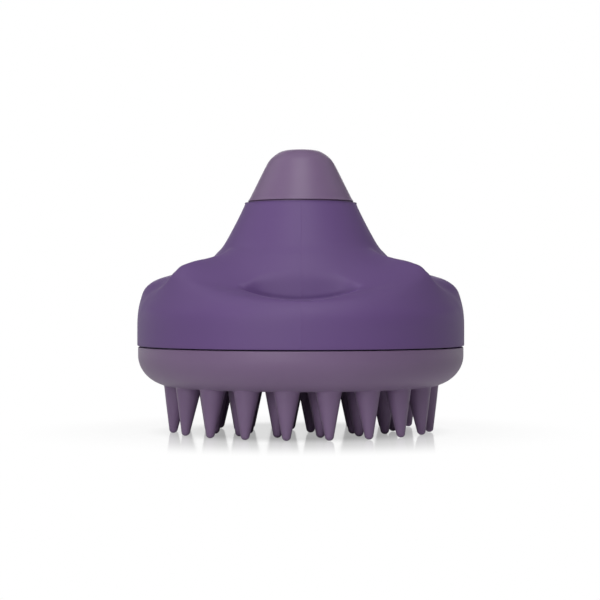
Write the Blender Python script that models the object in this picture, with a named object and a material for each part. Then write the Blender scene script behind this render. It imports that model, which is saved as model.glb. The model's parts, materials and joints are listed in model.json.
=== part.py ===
"""Vibrating scalp massager brush: silicone bristle head, screw-on casing, push button on top.

All driving dimensions are in millimetres; meshes are built in metres.
The origin is on the plane of the bristle tips, below the centre of the head, with +Z up.
The front, with one of the two finger scoops, faces -Y.
"""
import math

import bmesh
import bpy
from mathutils import Matrix, Vector

MM = 0.001
GAP = 0.3                      # air gap between neighbouring pieces
ROUND_STEPS = 40               # facets round the large turned pieces
BUTTON_STEPS = 28              # facets round the button
MOTOR_STEPS = 20               # facets round the motor and the cells
SMALL_STEPS = 12               # facets round screws, posts and bosses
SMOOTH_ANGLE = math.radians(35)
ROD_PHASE = 0.1                # radians per millimetre of radius

# Head: silicone pad with bristles, stretched over a rigid plate
PAD_RADIUS = 42.9
PAD_BOTTOM = 12.0
PAD_TOP = 22.35
PAD_WALL = 2.0
PAD_CORNER_WIDTH = 9.5
PAD_CORNER_HEIGHT = 8.2
PAD_BEAD_RADIUS = 38.2
PAD_BEAD_BOTTOM = 17.0
PAD_BEAD_TOP = 20.2
BRISTLE_SIDES = 8
BRISTLE_ROOT_RADIUS = 3.3
BRISTLE_TIP_RADIUS = 1.2
BRISTLE_FLAT_RADIUS = 0.6
# (count, radius of the roots, radius of the tips, azimuth of the first bristle from the front)
BRISTLE_RINGS = (
    (20, 33.1, 34.0, 12.0),
    (14, 23.9, 24.4, 11.7),
    (10, 16.3, 16.6, 18.0),
    (4, 6.2, 6.3, 24.0),
)

PLATE_FLOOR = PAD_BOTTOM + PAD_WALL + GAP
PLATE_THICKNESS = 2.0
PLATE_FLAT_RADIUS = 34.9
PLATE_RIM = ((38.5, 16.0), (38.8, 16.7))
COLLAR_RADIUS = 37.3
COLLAR_WALL = 2.0
COLLAR_TOP = 29.2
FLANGE_RADIUS = 40.6
FLANGE_BOTTOM = 20.6
FLANGE_TOP = 22.0

# Three-start thread between the collar and the casing
THREAD_STARTS = 3
THREAD_LEAD = 18.0             # rise in one full turn
THREAD_FIRST = 4.0             # azimuth where the first thread piece starts
THREAD_ARC = 30.0              # degrees covered by each thread piece
THREAD_STEPS = 6
THREAD_HEIGHT = 1.3
RIDGE_BOTTOM = 24.6
RIDGE_INNER_RADIUS = COLLAR_RADIUS + GAP
LUG_OUTER_RADIUS = 39.0

# Seal ring in the mouth of the casing
SEAL_RADIUS = 40.05
SEAL_SECTION_RADIUS = 0.75
SEAL_HEIGHT = 23.2
SEAL_STEPS = 32
SEAL_SIDES = 6

# Casing shell: profiles from the mouth up to the neck, as (radius, height)
SHELL_WALL = 2.0
NECK_TOP = 60.3
NECK_BORE = 14.35
NECK_POCKET = 15.4
NECK_SHOULDER = 56.5
NECK_POCKET_BOTTOM = 55.2
# Profiles from the mouth up to the neck (radius, height), row by row, at four azimuths
PROFILES = {
    "flare": (
        (43.1, 22.65), (43.1, 26.6), (43.0, 29.0), (42.5, 31.0), (41.3, 32.5), (39.2, 33.6),
        (36.2, 34.5), (33.2, 35.4), (30.6, 36.7), (28.6, 38.6), (26.8, 40.8), (24.9, 43.4),
        (22.9, 46.2), (20.3, 49.2), (17.35, 54.5), (15.0, 59.3), (14.8, NECK_TOP),
    ),
    "bulge": (
        (43.1, 22.65), (43.1, 27.0), (43.0, 29.6), (42.5, 32.0), (41.4, 34.2), (40.3, 36.8),
        (39.3, 39.3), (38.1, 41.8), (36.0, 43.8), (32.8, 44.9), (28.8, 45.6), (25.2, 46.5),
        (22.3, 47.6), (20.3, 49.2), (17.35, 54.5), (15.0, 59.3), (14.8, NECK_TOP),
    ),
    "valley": (
        (43.1, 22.65), (43.1, 27.0), (43.05, 29.7), (42.7, 32.2), (41.6, 34.5), (40.0, 36.7),
        (38.2, 38.4), (36.1, 39.8), (33.6, 41.2), (30.8, 42.5), (27.5, 43.9), (24.3, 45.3),
        (22.2, 47.0), (20.3, 49.2), (17.35, 54.5), (15.0, 59.3), (14.8, NECK_TOP),
    ),
    "side": (
        (43.1, 22.65), (43.1, 27.0), (43.05, 29.8), (42.8, 32.6), (42.2, 35.2), (41.4, 37.3),
        (39.9, 38.9), (37.6, 40.2), (34.0, 41.3), (30.0, 42.4), (26.8, 43.6), (24.2, 45.0),
        (22.2, 47.0), (20.3, 49.2), (17.35, 54.5), (15.0, 59.3), (14.8, NECK_TOP),
    ),
}
# Where each row of the bulge ends in a ridge, in degrees from the front; the valley lies beyond it
RIDGE_AZIMUTHS = (74.0, 74.0, 74.0, 73.0, 71.0, 65.5, 60.5, 58.5, 57.5, 57.0, 57.0, 57.0, 57.0, 57.0, 57.0,
                  57.0, 57.0)
RIDGE_SHARES = (0.0, 0.13, 0.26, 0.38, 0.5, 0.66, 0.83, 1.0)    # columns between the front and the ridge
VALLEY_OFFSET = 8.0
BULGE_SPREAD = 2.0               # power by which the flare turns into the bulge
# Finger dent: a steep wall at the back and a ledge below it
DENT_WALL_TOP = (26.4, 41.3)
DENT_WALL_SLOPE = 0.20
DENT_WALL_BOW = 0.0119
DENT_WALL_RETURN = 9.2e-5
DENT_LEDGE_HEIGHT = 35.4
DENT_LEDGE_BEND = 0.0125
DENT_LEDGE_SLOPE = 0.12
ROW_STEPS = 2
CONE_ROW = 13                  # profile row where the straight neck cone begins
LINING_REACH = 3               # rows on each side that set the direction of the wall's thickness

# Chassis inside the casing, with the battery tray below and the motor cradle above
CHASSIS_RADIUS = 37.2
CHASSIS_BOTTOM = 29.6
CHASSIS_TOP = 31.2
CHASSIS_SCREW_X = 22.5
CHASSIS_SCREW_Y = 18.5
BOSS_RADIUS = 3.2
BOSS_TOP = 43.3                 # on the boss's own axis
BOSS_SLOPE = 0.47               # the top rises with the shell's roof towards the middle
BOSS_BORE_TOP = 40.0
SCREW_RADIUS = 1.1
SCREW_HOLE_RADIUS = SCREW_RADIUS + GAP
TRAY_BOTTOM = 18.0
TRAY_INNER_X = 24.5
TRAY_INNER_Y = 11.5
TRAY_WALL = 1.5
BATTERY_RADIUS = 5.25
BATTERY_LENGTH = 44.5
BATTERY_NUB_LENGTH = 1.1
BATTERY_NUB_RADIUS = 1.9
BATTERY_Y = 5.8
BATTERY_Z = 23.5
BATTERY_TIP_X = TRAY_INNER_X - 0.9
CONTACT_THICKNESS = 0.3
CONTACT_INNER_X = TRAY_INNER_X - 0.6
CONTACT_HALF_WIDTH = 3.8
CONTACT_HALF_HEIGHT = 3.7
CONTACT_WIRE_RADIUS = 0.25
CONTACT_SPRING_TURNS = 2.5
CONTACT_SPRING_WIDE = 3.6        # radius at the contact plate
CONTACT_SPRING_NARROW = 2.0      # radius at the cell
BRIDGE_HALF_WIDTH = 9.5
TAB_Z = 25.2
TAB_END_X = 27.2
WIRE_RADIUS = 0.6
WIRE_HOLE_X = 29.0

# Motor and eccentric weight, on an axis along X
MOTOR_Z = 40.0
MOTOR_RADIUS = 7.4
MOTOR_BACK = -12.0
MOTOR_FRONT = 7.0
MOTOR_CAN_WALL = 0.8
SHAFT_RADIUS = 1.0
ARMATURE_RADIUS = 5.0
ARMATURE_BACK = -9.0
ARMATURE_FRONT = 3.0
MAGNET_INNER = 5.35
MAGNET_OUTER = 6.3
MOTOR_NOSE_RADIUS = 3.0
MOTOR_NOSE_LENGTH = 1.2
END_CAP_LENGTH = 1.9
TERMINAL_BACK = -17.2
TERMINAL_Y = 4.0
HUB_RADIUS = 2.6
WEIGHT_RADIUS = 6.5
WEIGHT_BACK = 11.4
WEIGHT_FRONT = 17.2
CRADLE_TOP = 36.0
CRADLE_BACK = -14.0
CRADLE_FRONT = 6.0
CRADLE_HALF_WIDTH = 14.5
CLAMP_X = -8.0
CLAMP_WIDTH = 6.0
CLAMP_THICKNESS = 1.2
CLAMP_SCREW_Y = 11.9
CLAMP_HOLE_BOTTOM = 32.2

# Switch board on two posts, push switch and button
POST_Y = 13.0
POST_RADIUS = 2.5
POST_HOLE_BOTTOM = 43.0
BOARD_BOTTOM = 49.6
BOARD_TOP = 50.8
BOARD_RADIUS = 15.8
SWITCH_SIZE = 8.0
SWITCH_TOP = 54.5
SWITCH_BORE_BOTTOM = 52.0
PLUNGER_RADIUS = 1.6
PLUNGER_TOP = 57.5
BUTTON_TRAVEL = 1.2
SPRING_RADIUS = 7.0
SPRING_WIRE_RADIUS = 0.35
SPRING_TURNS = 5
SPRING_SIDES = 5
WEB_BOTTOM = 60.3
CAP_RADIUS = 14.0
CAP_TOP = 74.35


def clear_scene():
    for thing in list(bpy.data.objects):
        bpy.data.objects.remove(thing, do_unlink=True)


# ---------------------------------------------------------------- materials

def make_material(name, colour, roughness, metallic=0.0):
    material = bpy.data.materials.new(name)
    material.use_nodes = True
    shader = material.node_tree.nodes["Principled BSDF"]
    shader.inputs["Base Color"].default_value = (*colour, 1.0)
    shader.inputs["Roughness"].default_value = roughness
    shader.inputs["Metallic"].default_value = metallic
    return material


def finish(piece, colour, roughness, metallic=0.0):
    piece.data.materials.append(make_material(piece.name, colour, roughness, metallic))
    return piece


PURPLE_PLASTIC = ((0.145, 0.093, 0.216), 0.55)
MAUVE_SILICONE = ((0.185, 0.130, 0.210), 0.48)
DARK_PLASTIC = ((0.045, 0.042, 0.050), 0.50)
GREY_PLASTIC = ((0.300, 0.300, 0.320), 0.45)
BLACK_RUBBER = ((0.020, 0.020, 0.022), 0.65)
STEEL = ((0.600, 0.600, 0.620), 0.30, 1.0)
NICKEL = ((0.720, 0.700, 0.660), 0.25, 1.0)
BRASS = ((0.780, 0.600, 0.280), 0.35, 1.0)
FERRITE = ((0.060, 0.060, 0.065), 0.60)
BOARD_GREEN = ((0.030, 0.180, 0.070), 0.45)
BATTERY_WRAP = ((0.120, 0.130, 0.140), 0.35)
RED_WIRE = ((0.550, 0.030, 0.030), 0.40)
BLACK_WIRE = ((0.025, 0.025, 0.025), 0.40)
BLUE_WIRE = ((0.040, 0.100, 0.450), 0.40)


# ---------------------------------------------------------------- mesh helpers

def new_object(name, mesh_builder, material=None, parent=None, origin=(0.0, 0.0, 0.0)):
    """Turn a bmesh in millimetres into an object whose origin is at the given point."""
    bmesh.ops.recalc_face_normals(mesh_builder, faces=mesh_builder.faces)
    bmesh.ops.triangulate(mesh_builder, faces=mesh_builder.faces)
    bmesh.ops.translate(mesh_builder, verts=mesh_builder.verts, vec=-Vector(origin))
    bmesh.ops.scale(mesh_builder, verts=mesh_builder.verts, vec=(MM, MM, MM))
    mesh = bpy.data.meshes.new(name)
    mesh_builder.to_mesh(mesh)
    mesh_builder.free()
    mesh.shade_smooth()
    mesh.set_sharp_from_angle(angle=SMOOTH_ANGLE)
    piece = bpy.data.objects.new(name, mesh)
    bpy.context.collection.objects.link(piece)
    place = Vector(origin) * MM
    if parent is not None:
        piece.parent = parent
        place = place - parent.location
    piece.location = place
    if material is not None:
        finish(piece, *material)
    return piece


def new_empty(name, place):
    empty = bpy.data.objects.new(name, None)
    empty.location = Vector(place) * MM
    bpy.context.collection.objects.link(empty)
    return empty


def skin_rings(builder, rings, closed):
    """Bridge successive rings of vertices; a ring of one vertex is a point on the axis."""
    pairs = list(zip(rings, rings[1:]))
    if closed:
        pairs.append((rings[-1], rings[0]))
    for first, second in pairs:
        steps = max(len(first), len(second))
        for i in range(steps):
            j = (i + 1) % steps
            corners = []
            for ring, index in ((first, i), (first, j), (second, j), (second, i)):
                vertex = ring[index % len(ring)]
                if vertex not in corners:
                    corners.append(vertex)
            if len(corners) > 2:
                builder.faces.new(corners)


def turned(profile, steps, axis="Z", centre=(0.0, 0.0, 0.0), phase=0.0):
    """Turn a profile of (radius, height) points; ends on the axis make a solid, others a ring."""
    builder = bmesh.new()
    rings = []
    for radius, height in profile:
        if radius == 0.0:
            rings.append([builder.verts.new((0.0, 0.0, height))])
            continue
        ring = []
        for i in range(steps):
            angle = 2.0 * math.pi * i / steps + phase
            ring.append(builder.verts.new((radius * math.cos(angle), radius * math.sin(angle), height)))
        rings.append(ring)
    skin_rings(builder, rings, closed=profile[0][0] != 0.0)
    if axis == "X":
        turn = Matrix.Rotation(math.radians(90.0), 4, "Y")
        bmesh.ops.transform(builder, matrix=turn, verts=builder.verts)
    bmesh.ops.translate(builder, verts=builder.verts, vec=centre)
    return builder


def rod(radius, low, high, steps=SMALL_STEPS, axis="Z", centre=(0.0, 0.0, 0.0)):
    """A plain rod; its facets start at an angle set by its radius, so no two rods' edges line up."""
    profile = ((0.0, low), (radius, low), (radius, high), (0.0, high))
    return turned(profile, steps, axis, centre, phase=ROD_PHASE * radius)


def block(low, high):
    builder = bmesh.new()
    bmesh.ops.create_cube(builder, size=1.0)
    size = Vector(high) - Vector(low)
    bmesh.ops.scale(builder, verts=builder.verts, vec=size)
    bmesh.ops.translate(builder, verts=builder.verts, vec=(Vector(high) + Vector(low)) / 2.0)
    return builder


def curve_through(points, steps):
    """Points along a Catmull-Rom curve through the given points."""
    points = [Vector(p) for p in points]
    padded = [2.0 * points[0] - points[1]] + points + [2.0 * points[-1] - points[-2]]
    path = []
    for before, start, end, after in zip(padded, padded[1:], padded[2:], padded[3:]):
        for i in range(steps):
            t = i / steps
            path.append(0.5 * (2.0 * start + (end - before) * t
                               + (2.0 * before - 5.0 * start + 4.0 * end - after) * t ** 2
                               + (3.0 * start - before - 3.0 * end + after) * t ** 3))
    path.append(points[-1])
    return path


def tube(path, radius, sides):
    """A closed round tube along a path, with its section carried along without twist."""
    builder = bmesh.new()
    tangent = (path[1] - path[0]).normalized()
    side = tangent.orthogonal().normalized()
    rings = [[builder.verts.new(path[0])]]
    for i, point in enumerate(path):
        ahead = path[min(i + 1, len(path) - 1)]
        behind = path[max(i - 1, 0)]
        tangent = (ahead - behind).normalized()
        side = (side - tangent * side.dot(tangent)).normalized()
        up = tangent.cross(side)
        ring = []
        for k in range(sides):
            angle = 2.0 * math.pi * k / sides
            ring.append(builder.verts.new(point + radius * (math.cos(angle) * side + math.sin(angle) * up)))
        rings.append(ring)
    rings.append([builder.verts.new(path[-1])])
    skin_rings(builder, rings, closed=False)
    return builder


def combine(target, operation, name, builder):
    """Join a shape to a piece, or cut it away, with a Boolean that stays on the piece."""
    tool = new_object(name, builder)
    tool.hide_render = True
    tool.display_type = "WIRE"
    if target.parent is not None:
        tool.parent = target.parent
        tool.location = tool.location - target.parent.location
    modifier = target.modifiers.new(name, "BOOLEAN")
    modifier.operation = operation
    modifier.solver = "EXACT"
    modifier.object = tool


def screw(name, head_centre, direction, length, head_radius, parent=None):
    """A pan-head screw; direction is +1 when the shank points up and -1 when it points down."""
    x, y, z = head_centre
    head_height = 1.5
    profile = ((0.0, 0.0), (head_radius * 0.8, 0.0), (head_radius, head_height * 0.4),
               (head_radius, head_height), (SCREW_RADIUS, head_height),
               (SCREW_RADIUS, head_height + length - 0.8), (0.0, head_height + length))
    profile = tuple((radius, direction * height) for radius, height in profile)
    builder = turned(profile, SMALL_STEPS, centre=(x, y, z))
    piece = new_object(name, builder, STEEL, parent, origin=head_centre)
    slot_low = min(z - direction * 0.5, z + direction * 0.5)
    slot_high = max(z - direction * 0.5, z + direction * 0.5)
    combine(piece, "DIFFERENCE", name + "_slot",
            block((x - head_radius * 0.6, y - 0.3, slot_low), (x + head_radius * 0.6, y + 0.3, slot_high)))
    return piece


# ---------------------------------------------------------------- head

def quarter_ellipse(width, height, steps):
    """Points from the bottom centre line of the pad's corner out to its vertical wall."""
    centre_radius = PAD_RADIUS - PAD_CORNER_WIDTH
    centre_height = PAD_BOTTOM + PAD_CORNER_HEIGHT
    points = []
    for i in range(steps + 1):
        angle = 0.5 * math.pi * i / steps
        points.append((centre_radius + width * math.sin(angle), centre_height - height * math.cos(angle)))
    return points


def make_bristle(azimuth, root_radius, tip_radius):
    """One tapered bristle, from inside the pad floor down to a small flat tip."""
    outward = Vector((math.sin(azimuth), -math.cos(azimuth), 0.0))
    root = outward * root_radius + Vector((0.0, 0.0, PAD_BOTTOM + PAD_WALL * 0.4))
    tip = outward * tip_radius
    builder = bmesh.new()
    rings = [[builder.verts.new(root)]]
    shoulder = BRISTLE_TIP_RADIUS / root.z
    for along, radius in ((0.0, BRISTLE_ROOT_RADIUS), (1.0 - shoulder, BRISTLE_TIP_RADIUS),
                          (1.0, BRISTLE_FLAT_RADIUS)):
        centre = root.lerp(tip, along)
        ring = []
        for k in range(BRISTLE_SIDES):
            angle = 2.0 * math.pi * k / BRISTLE_SIDES
            ring.append(builder.verts.new(centre + radius * Vector((math.cos(angle), math.sin(angle), 0.0))))
        rings.append(ring)
    rings.append([builder.verts.new(tip)])
    skin_rings(builder, rings, closed=False)
    return builder


def make_bristle_pad():
    outer = quarter_ellipse(PAD_CORNER_WIDTH, PAD_CORNER_HEIGHT, 6)
    inner = quarter_ellipse(PAD_CORNER_WIDTH - PAD_WALL, PAD_CORNER_HEIGHT - PAD_WALL, 4)
    inner_radius = PAD_RADIUS - PAD_WALL
    bead_bottom = PAD_BEAD_BOTTOM
    bead_top = PAD_BEAD_TOP
    inner_corner = [point for point in inner if point[1] < bead_bottom - GAP]
    profile = [(0.0, PAD_BOTTOM)] + outer + [
        (PAD_RADIUS, PAD_TOP), (inner_radius, PAD_TOP), (inner_radius, bead_top + 0.2),
        (PAD_BEAD_RADIUS, bead_top), (PAD_BEAD_RADIUS, bead_bottom), (39.5, bead_bottom - 0.2),
    ] + inner_corner[::-1] + [(0.0, PAD_BOTTOM + PAD_WALL)]
    pad = new_object("bristle_pad", turned(profile, ROUND_STEPS), MAUVE_SILICONE)
    bristles = bpy.data.collections.new("bristle_shapes")
    bpy.context.scene.collection.children.link(bristles)
    for ring_number, (count, root_radius, tip_radius, first) in enumerate(BRISTLE_RINGS):
        for i in range(count):
            azimuth = math.radians(first + 360.0 * i / count)
            name = "bristle_shape_%d_%d" % (ring_number + 1, i + 1)
            shape = new_object(name, make_bristle(azimuth, root_radius, tip_radius))
            shape.hide_render = True
            shape.display_type = "WIRE"
            bpy.context.collection.objects.unlink(shape)
            bristles.objects.link(shape)
    join = pad.modifiers.new("bristles", "BOOLEAN")
    join.operation = "UNION"
    join.solver = "EXACT"
    join.operand_type = "COLLECTION"
    join.collection = bristles


def thread_piece(start, inner_radius, outer_radius, bottom):
    """A helical bar of rectangular section that climbs anticlockwise from its start azimuth."""
    builder = bmesh.new()
    rings = []
    for i in range(THREAD_STEPS + 1):
        turn = THREAD_ARC * i / THREAD_STEPS
        angle = math.radians(start + turn)
        low = bottom + THREAD_LEAD * turn / 360.0
        high = low + THREAD_HEIGHT
        ring = []
        for radius, height in ((inner_radius, low), (outer_radius, low), (outer_radius, high),
                               (inner_radius, high)):
            ring.append(builder.verts.new((radius * math.cos(angle), radius * math.sin(angle), height)))
        rings.append(ring)
    skin_rings(builder, rings, closed=False)
    builder.faces.new(rings[0])
    builder.faces.new(rings[-1])
    return builder


def make_base_plate():
    floor_top = PLATE_FLOOR + PLATE_THICKNESS
    inner = COLLAR_RADIUS - COLLAR_WALL
    profile = (
        (0.0, PLATE_FLOOR), (PLATE_FLAT_RADIUS, PLATE_FLOOR), *PLATE_RIM, (COLLAR_RADIUS, PLATE_RIM[-1][1]),
        (COLLAR_RADIUS, FLANGE_BOTTOM), (FLANGE_RADIUS, FLANGE_BOTTOM), (FLANGE_RADIUS, FLANGE_TOP),
        (COLLAR_RADIUS, FLANGE_TOP), (COLLAR_RADIUS, COLLAR_TOP), (inner, COLLAR_TOP),
        (inner, floor_top), (0.0, floor_top),
    )
    plate = new_object("base_plate", turned(profile, ROUND_STEPS), DARK_PLASTIC)
    lug_bottom = RIDGE_BOTTOM + THREAD_HEIGHT + GAP
    for i in range(THREAD_STARTS):
        start = THREAD_FIRST + 360.0 * i / THREAD_STARTS
        combine(plate, "UNION", "lug_shape_%d" % (i + 1),
                thread_piece(start, COLLAR_RADIUS - 0.6, LUG_OUTER_RADIUS, lug_bottom))


def make_seal_ring(parent):
    section = []
    for k in range(SEAL_SIDES):
        angle = 2.0 * math.pi * k / SEAL_SIDES
        section.append((SEAL_RADIUS + SEAL_SECTION_RADIUS * math.cos(angle),
                        SEAL_HEIGHT + SEAL_SECTION_RADIUS * math.sin(angle)))
    new_object("seal_ring", turned(section, SEAL_STEPS), BLACK_RUBBER, parent)


# ---------------------------------------------------------------- casing shell

def smooth_between(value, low, high):
    t = min(max((value - low) / (high - low), 0.0), 1.0)
    return t * t * (3.0 - 2.0 * t)


def fine_curve(points):
    return curve_through([Vector(point) for point in points], ROW_STEPS)


def body_point(profiles, ridge, from_front):
    """The surface before the finger dent: flare, bulge, ridge, valley and side lobe, by azimuth."""
    flare, bulge, valley, side = profiles
    bottom = ridge + VALLEY_OFFSET
    if from_front < ridge:
        return flare.lerp(bulge, (from_front / ridge) ** BULGE_SPREAD)
    if from_front < bottom:
        return bulge.lerp(valley, math.sin(0.5 * math.pi * (from_front - ridge) / VALLEY_OFFSET))
    return valley.lerp(side, smooth_between(from_front, bottom, 90.0))


def dent_wall(height, angle):
    """Radius of the dent's steep back wall, which curves round towards the ends of the dent in plan."""
    depth = DENT_WALL_TOP[0] + DENT_WALL_SLOPE * (DENT_WALL_TOP[1] - height)
    radius = depth
    for _ in range(12):
        across = radius * math.sin(angle)
        radius = (depth - DENT_WALL_BOW * across ** 2 + DENT_WALL_RETURN * across ** 4) / math.cos(angle)
        if radius > PAD_RADIUS:
            return 2.0 * PAD_RADIUS
    return radius


def dent_ledge(radius, angle):
    """Height of the dent's ledge, lowest in the middle and falling gently outwards."""
    across = radius * math.sin(angle)
    outwards = radius * math.cos(angle) - DENT_WALL_TOP[0]
    return DENT_LEDGE_HEIGHT + DENT_LEDGE_BEND * across ** 2 - DENT_LEDGE_SLOPE * outwards


def cut_dent(rows, angles):
    """Lay the rows that lie in the dent along its ledge and its wall, with one row in the corner."""
    depths = [min(point.y - dent_ledge(point.x, angle), point.x - dent_wall(point.y, angle))
              for point, angle in zip(rows, angles)]
    inside = [i for i, depth in enumerate(depths) if depth > 0.0]
    if len(inside) < 2:
        return rows
    first, last = inside[0], inside[-1]
    start = rows[first - 1].lerp(rows[first], depths[first - 1] / (depths[first - 1] - depths[first]))
    end = rows[last].lerp(rows[last + 1], depths[last] / (depths[last] - depths[last + 1]))
    middle = (first + last + 1) // 2
    corner = Vector((dent_wall(DENT_LEDGE_HEIGHT, angles[middle]), DENT_LEDGE_HEIGHT))
    for _ in range(6):
        corner.y = dent_ledge(corner.x, angles[middle])
        corner.x = dent_wall(corner.y, angles[middle])
    result = rows[:]
    for i in inside:
        if i <= middle:
            result[i] = start.lerp(corner, (i - first + 0.5) / (middle - first + 0.5))
        else:
            result[i] = corner.lerp(end, (i - middle) / (last - middle + 0.5))
    return result


def round_azimuths(ridge):
    """The columns' azimuths all the way round for a row whose bulges end at the given ridge."""
    valley = ridge + VALLEY_OFFSET
    quarter = [share * ridge for share in RIDGE_SHARES]
    quarter += [ridge + 0.5 * VALLEY_OFFSET, valley, 0.5 * (valley + 90.0), 90.0]
    half = quarter + [180.0 - azimuth for azimuth in quarter[-2::-1]]
    return half[:-1] + [180.0 + azimuth for azimuth in half[:-1]]


def shell_columns():
    """Every column of the outer surface as (azimuths, rows of radius and height)."""
    ridges = [point.x for point in fine_curve([(azimuth, 0.0) for azimuth in RIDGE_AZIMUTHS])]
    shapes = list(zip(*[fine_curve(PROFILES[name]) for name in ("flare", "bulge", "valley", "side")]))
    columns = []
    for azimuths in zip(*[round_azimuths(ridge) for ridge in ridges]):
        from_front = [abs((azimuth + 90.0) % 180.0 - 90.0) for azimuth in azimuths]
        rows = [body_point(*values) for values in zip(shapes, ridges, from_front)]
        columns.append((azimuths, cut_dent(rows, [math.radians(azimuth) for azimuth in from_front])))
    return columns


def shell_lining(rows):
    """The inner profile: the outer one moved in by the wall, then the bore and pocket of the neck."""
    inner = []
    for i in range(CONE_ROW * ROW_STEPS + 1):
        along = rows[i + LINING_REACH] - rows[max(i - LINING_REACH, 0)]
        inward = Vector((-along.y, along.x)).normalized()
        inner.append(rows[i] + SHELL_WALL * inward)
    inner[0].y = rows[0].y
    inner.append(Vector((NECK_POCKET, NECK_POCKET_BOTTOM)))
    inner.append(Vector((NECK_POCKET, NECK_SHOULDER)))
    inner.append(Vector((NECK_BORE, NECK_SHOULDER)))
    inner.append(Vector((NECK_BORE, NECK_TOP)))
    return inner


def make_body_shell(parent):
    builder = bmesh.new()
    rings = []
    for azimuths, rows in shell_columns():
        lining = shell_lining(rows)
        turns = azimuths + azimuths[:len(lining)][::-1]
        ring = []
        for azimuth, point in zip(turns, rows + lining[::-1]):
            angle = math.radians(azimuth)
            ring.append(builder.verts.new((point.x * math.sin(angle), -point.x * math.cos(angle), point.y)))
        rings.append(ring)
    skin_rings(builder, rings, closed=True)
    shell = new_object("body_shell", builder, PURPLE_PLASTIC, parent)
    for i in range(THREAD_STARTS):
        start = THREAD_FIRST + 360.0 * i / THREAD_STARTS
        outer_radius = PROFILES["flare"][0][0] - 0.75 * SHELL_WALL
        combine(shell, "UNION", "ridge_shape_%d" % (i + 1),
                thread_piece(start, RIDGE_INNER_RADIUS, outer_radius, RIDGE_BOTTOM))
    for name, x, y in corner_places():
        combine(shell, "UNION", "boss_shape_" + name, screw_boss(x, y))


def screw_boss(x, y):
    """A boss hanging from the shell's sloping roof, with a blind hole for a chassis screw."""
    bottom = CHASSIS_TOP + GAP
    profile = ((0.0, BOSS_TOP), (BOSS_RADIUS, BOSS_TOP), (BOSS_RADIUS, bottom), (SCREW_HOLE_RADIUS, bottom),
               (SCREW_HOLE_RADIUS, BOSS_BORE_TOP), (0.0, BOSS_BORE_TOP))
    builder = turned(profile, SMALL_STEPS, centre=(x, y, 0.0))
    for vertex in builder.verts:
        if vertex.co.z > BOSS_BORE_TOP + 1.0:
            vertex.co.z += BOSS_SLOPE * (abs(y) - abs(vertex.co.y))
    return builder


def corner_places():
    places = []
    for number, (sign_x, sign_y) in enumerate(((1, 1), (-1, 1), (-1, -1), (1, -1)), start=1):
        places.append((str(number), sign_x * CHASSIS_SCREW_X, sign_y * CHASSIS_SCREW_Y))
    return places


# ---------------------------------------------------------------- chassis and batteries

def make_chassis(parent):
    chassis = new_object("inner_chassis", rod(CHASSIS_RADIUS, CHASSIS_BOTTOM, CHASSIS_TOP, ROUND_STEPS),
                         GREY_PLASTIC, parent)
    middle = 0.5 * (CHASSIS_BOTTOM + CHASSIS_TOP)
    outer_x = TRAY_INNER_X + TRAY_WALL
    outer_y = TRAY_INNER_Y + TRAY_WALL
    combine(chassis, "UNION", "tray_outside",
            block((-outer_x, -outer_y, TRAY_BOTTOM), (outer_x, outer_y, middle)))
    combine(chassis, "DIFFERENCE", "tray_inside",
            block((-TRAY_INNER_X, -TRAY_INNER_Y, TRAY_BOTTOM - 1.0),
                  (TRAY_INNER_X, TRAY_INNER_Y, CHASSIS_BOTTOM - GAP)))
    combine(chassis, "UNION", "cradle_block",
            block((CRADLE_BACK, -CRADLE_HALF_WIDTH, middle), (CRADLE_FRONT, CRADLE_HALF_WIDTH, CRADLE_TOP)))
    combine(chassis, "DIFFERENCE", "cradle_hollow",
            rod(MOTOR_RADIUS + GAP, CRADLE_BACK - 1.0, CRADLE_FRONT + 1.0, 32, "X", (0.0, 0.0, MOTOR_Z)))
    for side in (-1, 1):
        label = "front" if side < 0 else "back"
        combine(chassis, "UNION", "post_" + label,
                rod(POST_RADIUS, middle, BOARD_BOTTOM - GAP, centre=(0.0, side * POST_Y, 0.0)))
        combine(chassis, "DIFFERENCE", "post_hole_" + label,
                rod(SCREW_HOLE_RADIUS, POST_HOLE_BOTTOM, BOARD_BOTTOM + 1.0, centre=(0.0, side * POST_Y, 0.0)))
        combine(chassis, "DIFFERENCE", "clamp_hole_" + label,
                rod(SCREW_HOLE_RADIUS, CLAMP_HOLE_BOTTOM, CRADLE_TOP + 1.0,
                    centre=(CLAMP_X, side * CLAMP_SCREW_Y, 0.0)))
        combine(chassis, "DIFFERENCE", "wire_hole_" + label,
                rod(WIRE_RADIUS + 1.0, CHASSIS_BOTTOM - 1.0, CHASSIS_TOP + 1.0,
                    centre=(WIRE_HOLE_X, side * BATTERY_Y, 0.0)))
        combine(chassis, "DIFFERENCE", "tab_slot_" + label,
                block((TRAY_INNER_X - 0.5, side * BATTERY_Y - 2.0, TAB_Z - 0.7),
                      (outer_x + 0.5, side * BATTERY_Y + 2.0, TAB_Z + 0.7)))
    for name, x, y in corner_places():
        combine(chassis, "DIFFERENCE", "chassis_hole_" + name,
                rod(SCREW_HOLE_RADIUS, CHASSIS_BOTTOM - 1.0, CHASSIS_TOP + 1.0, centre=(x, y, 0.0)))
    for name, x, y in corner_places():
        screw("chassis_screw_" + name, (x, y, CHASSIS_BOTTOM - GAP - 1.5), 1, 8.5, 2.6, parent)


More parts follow.
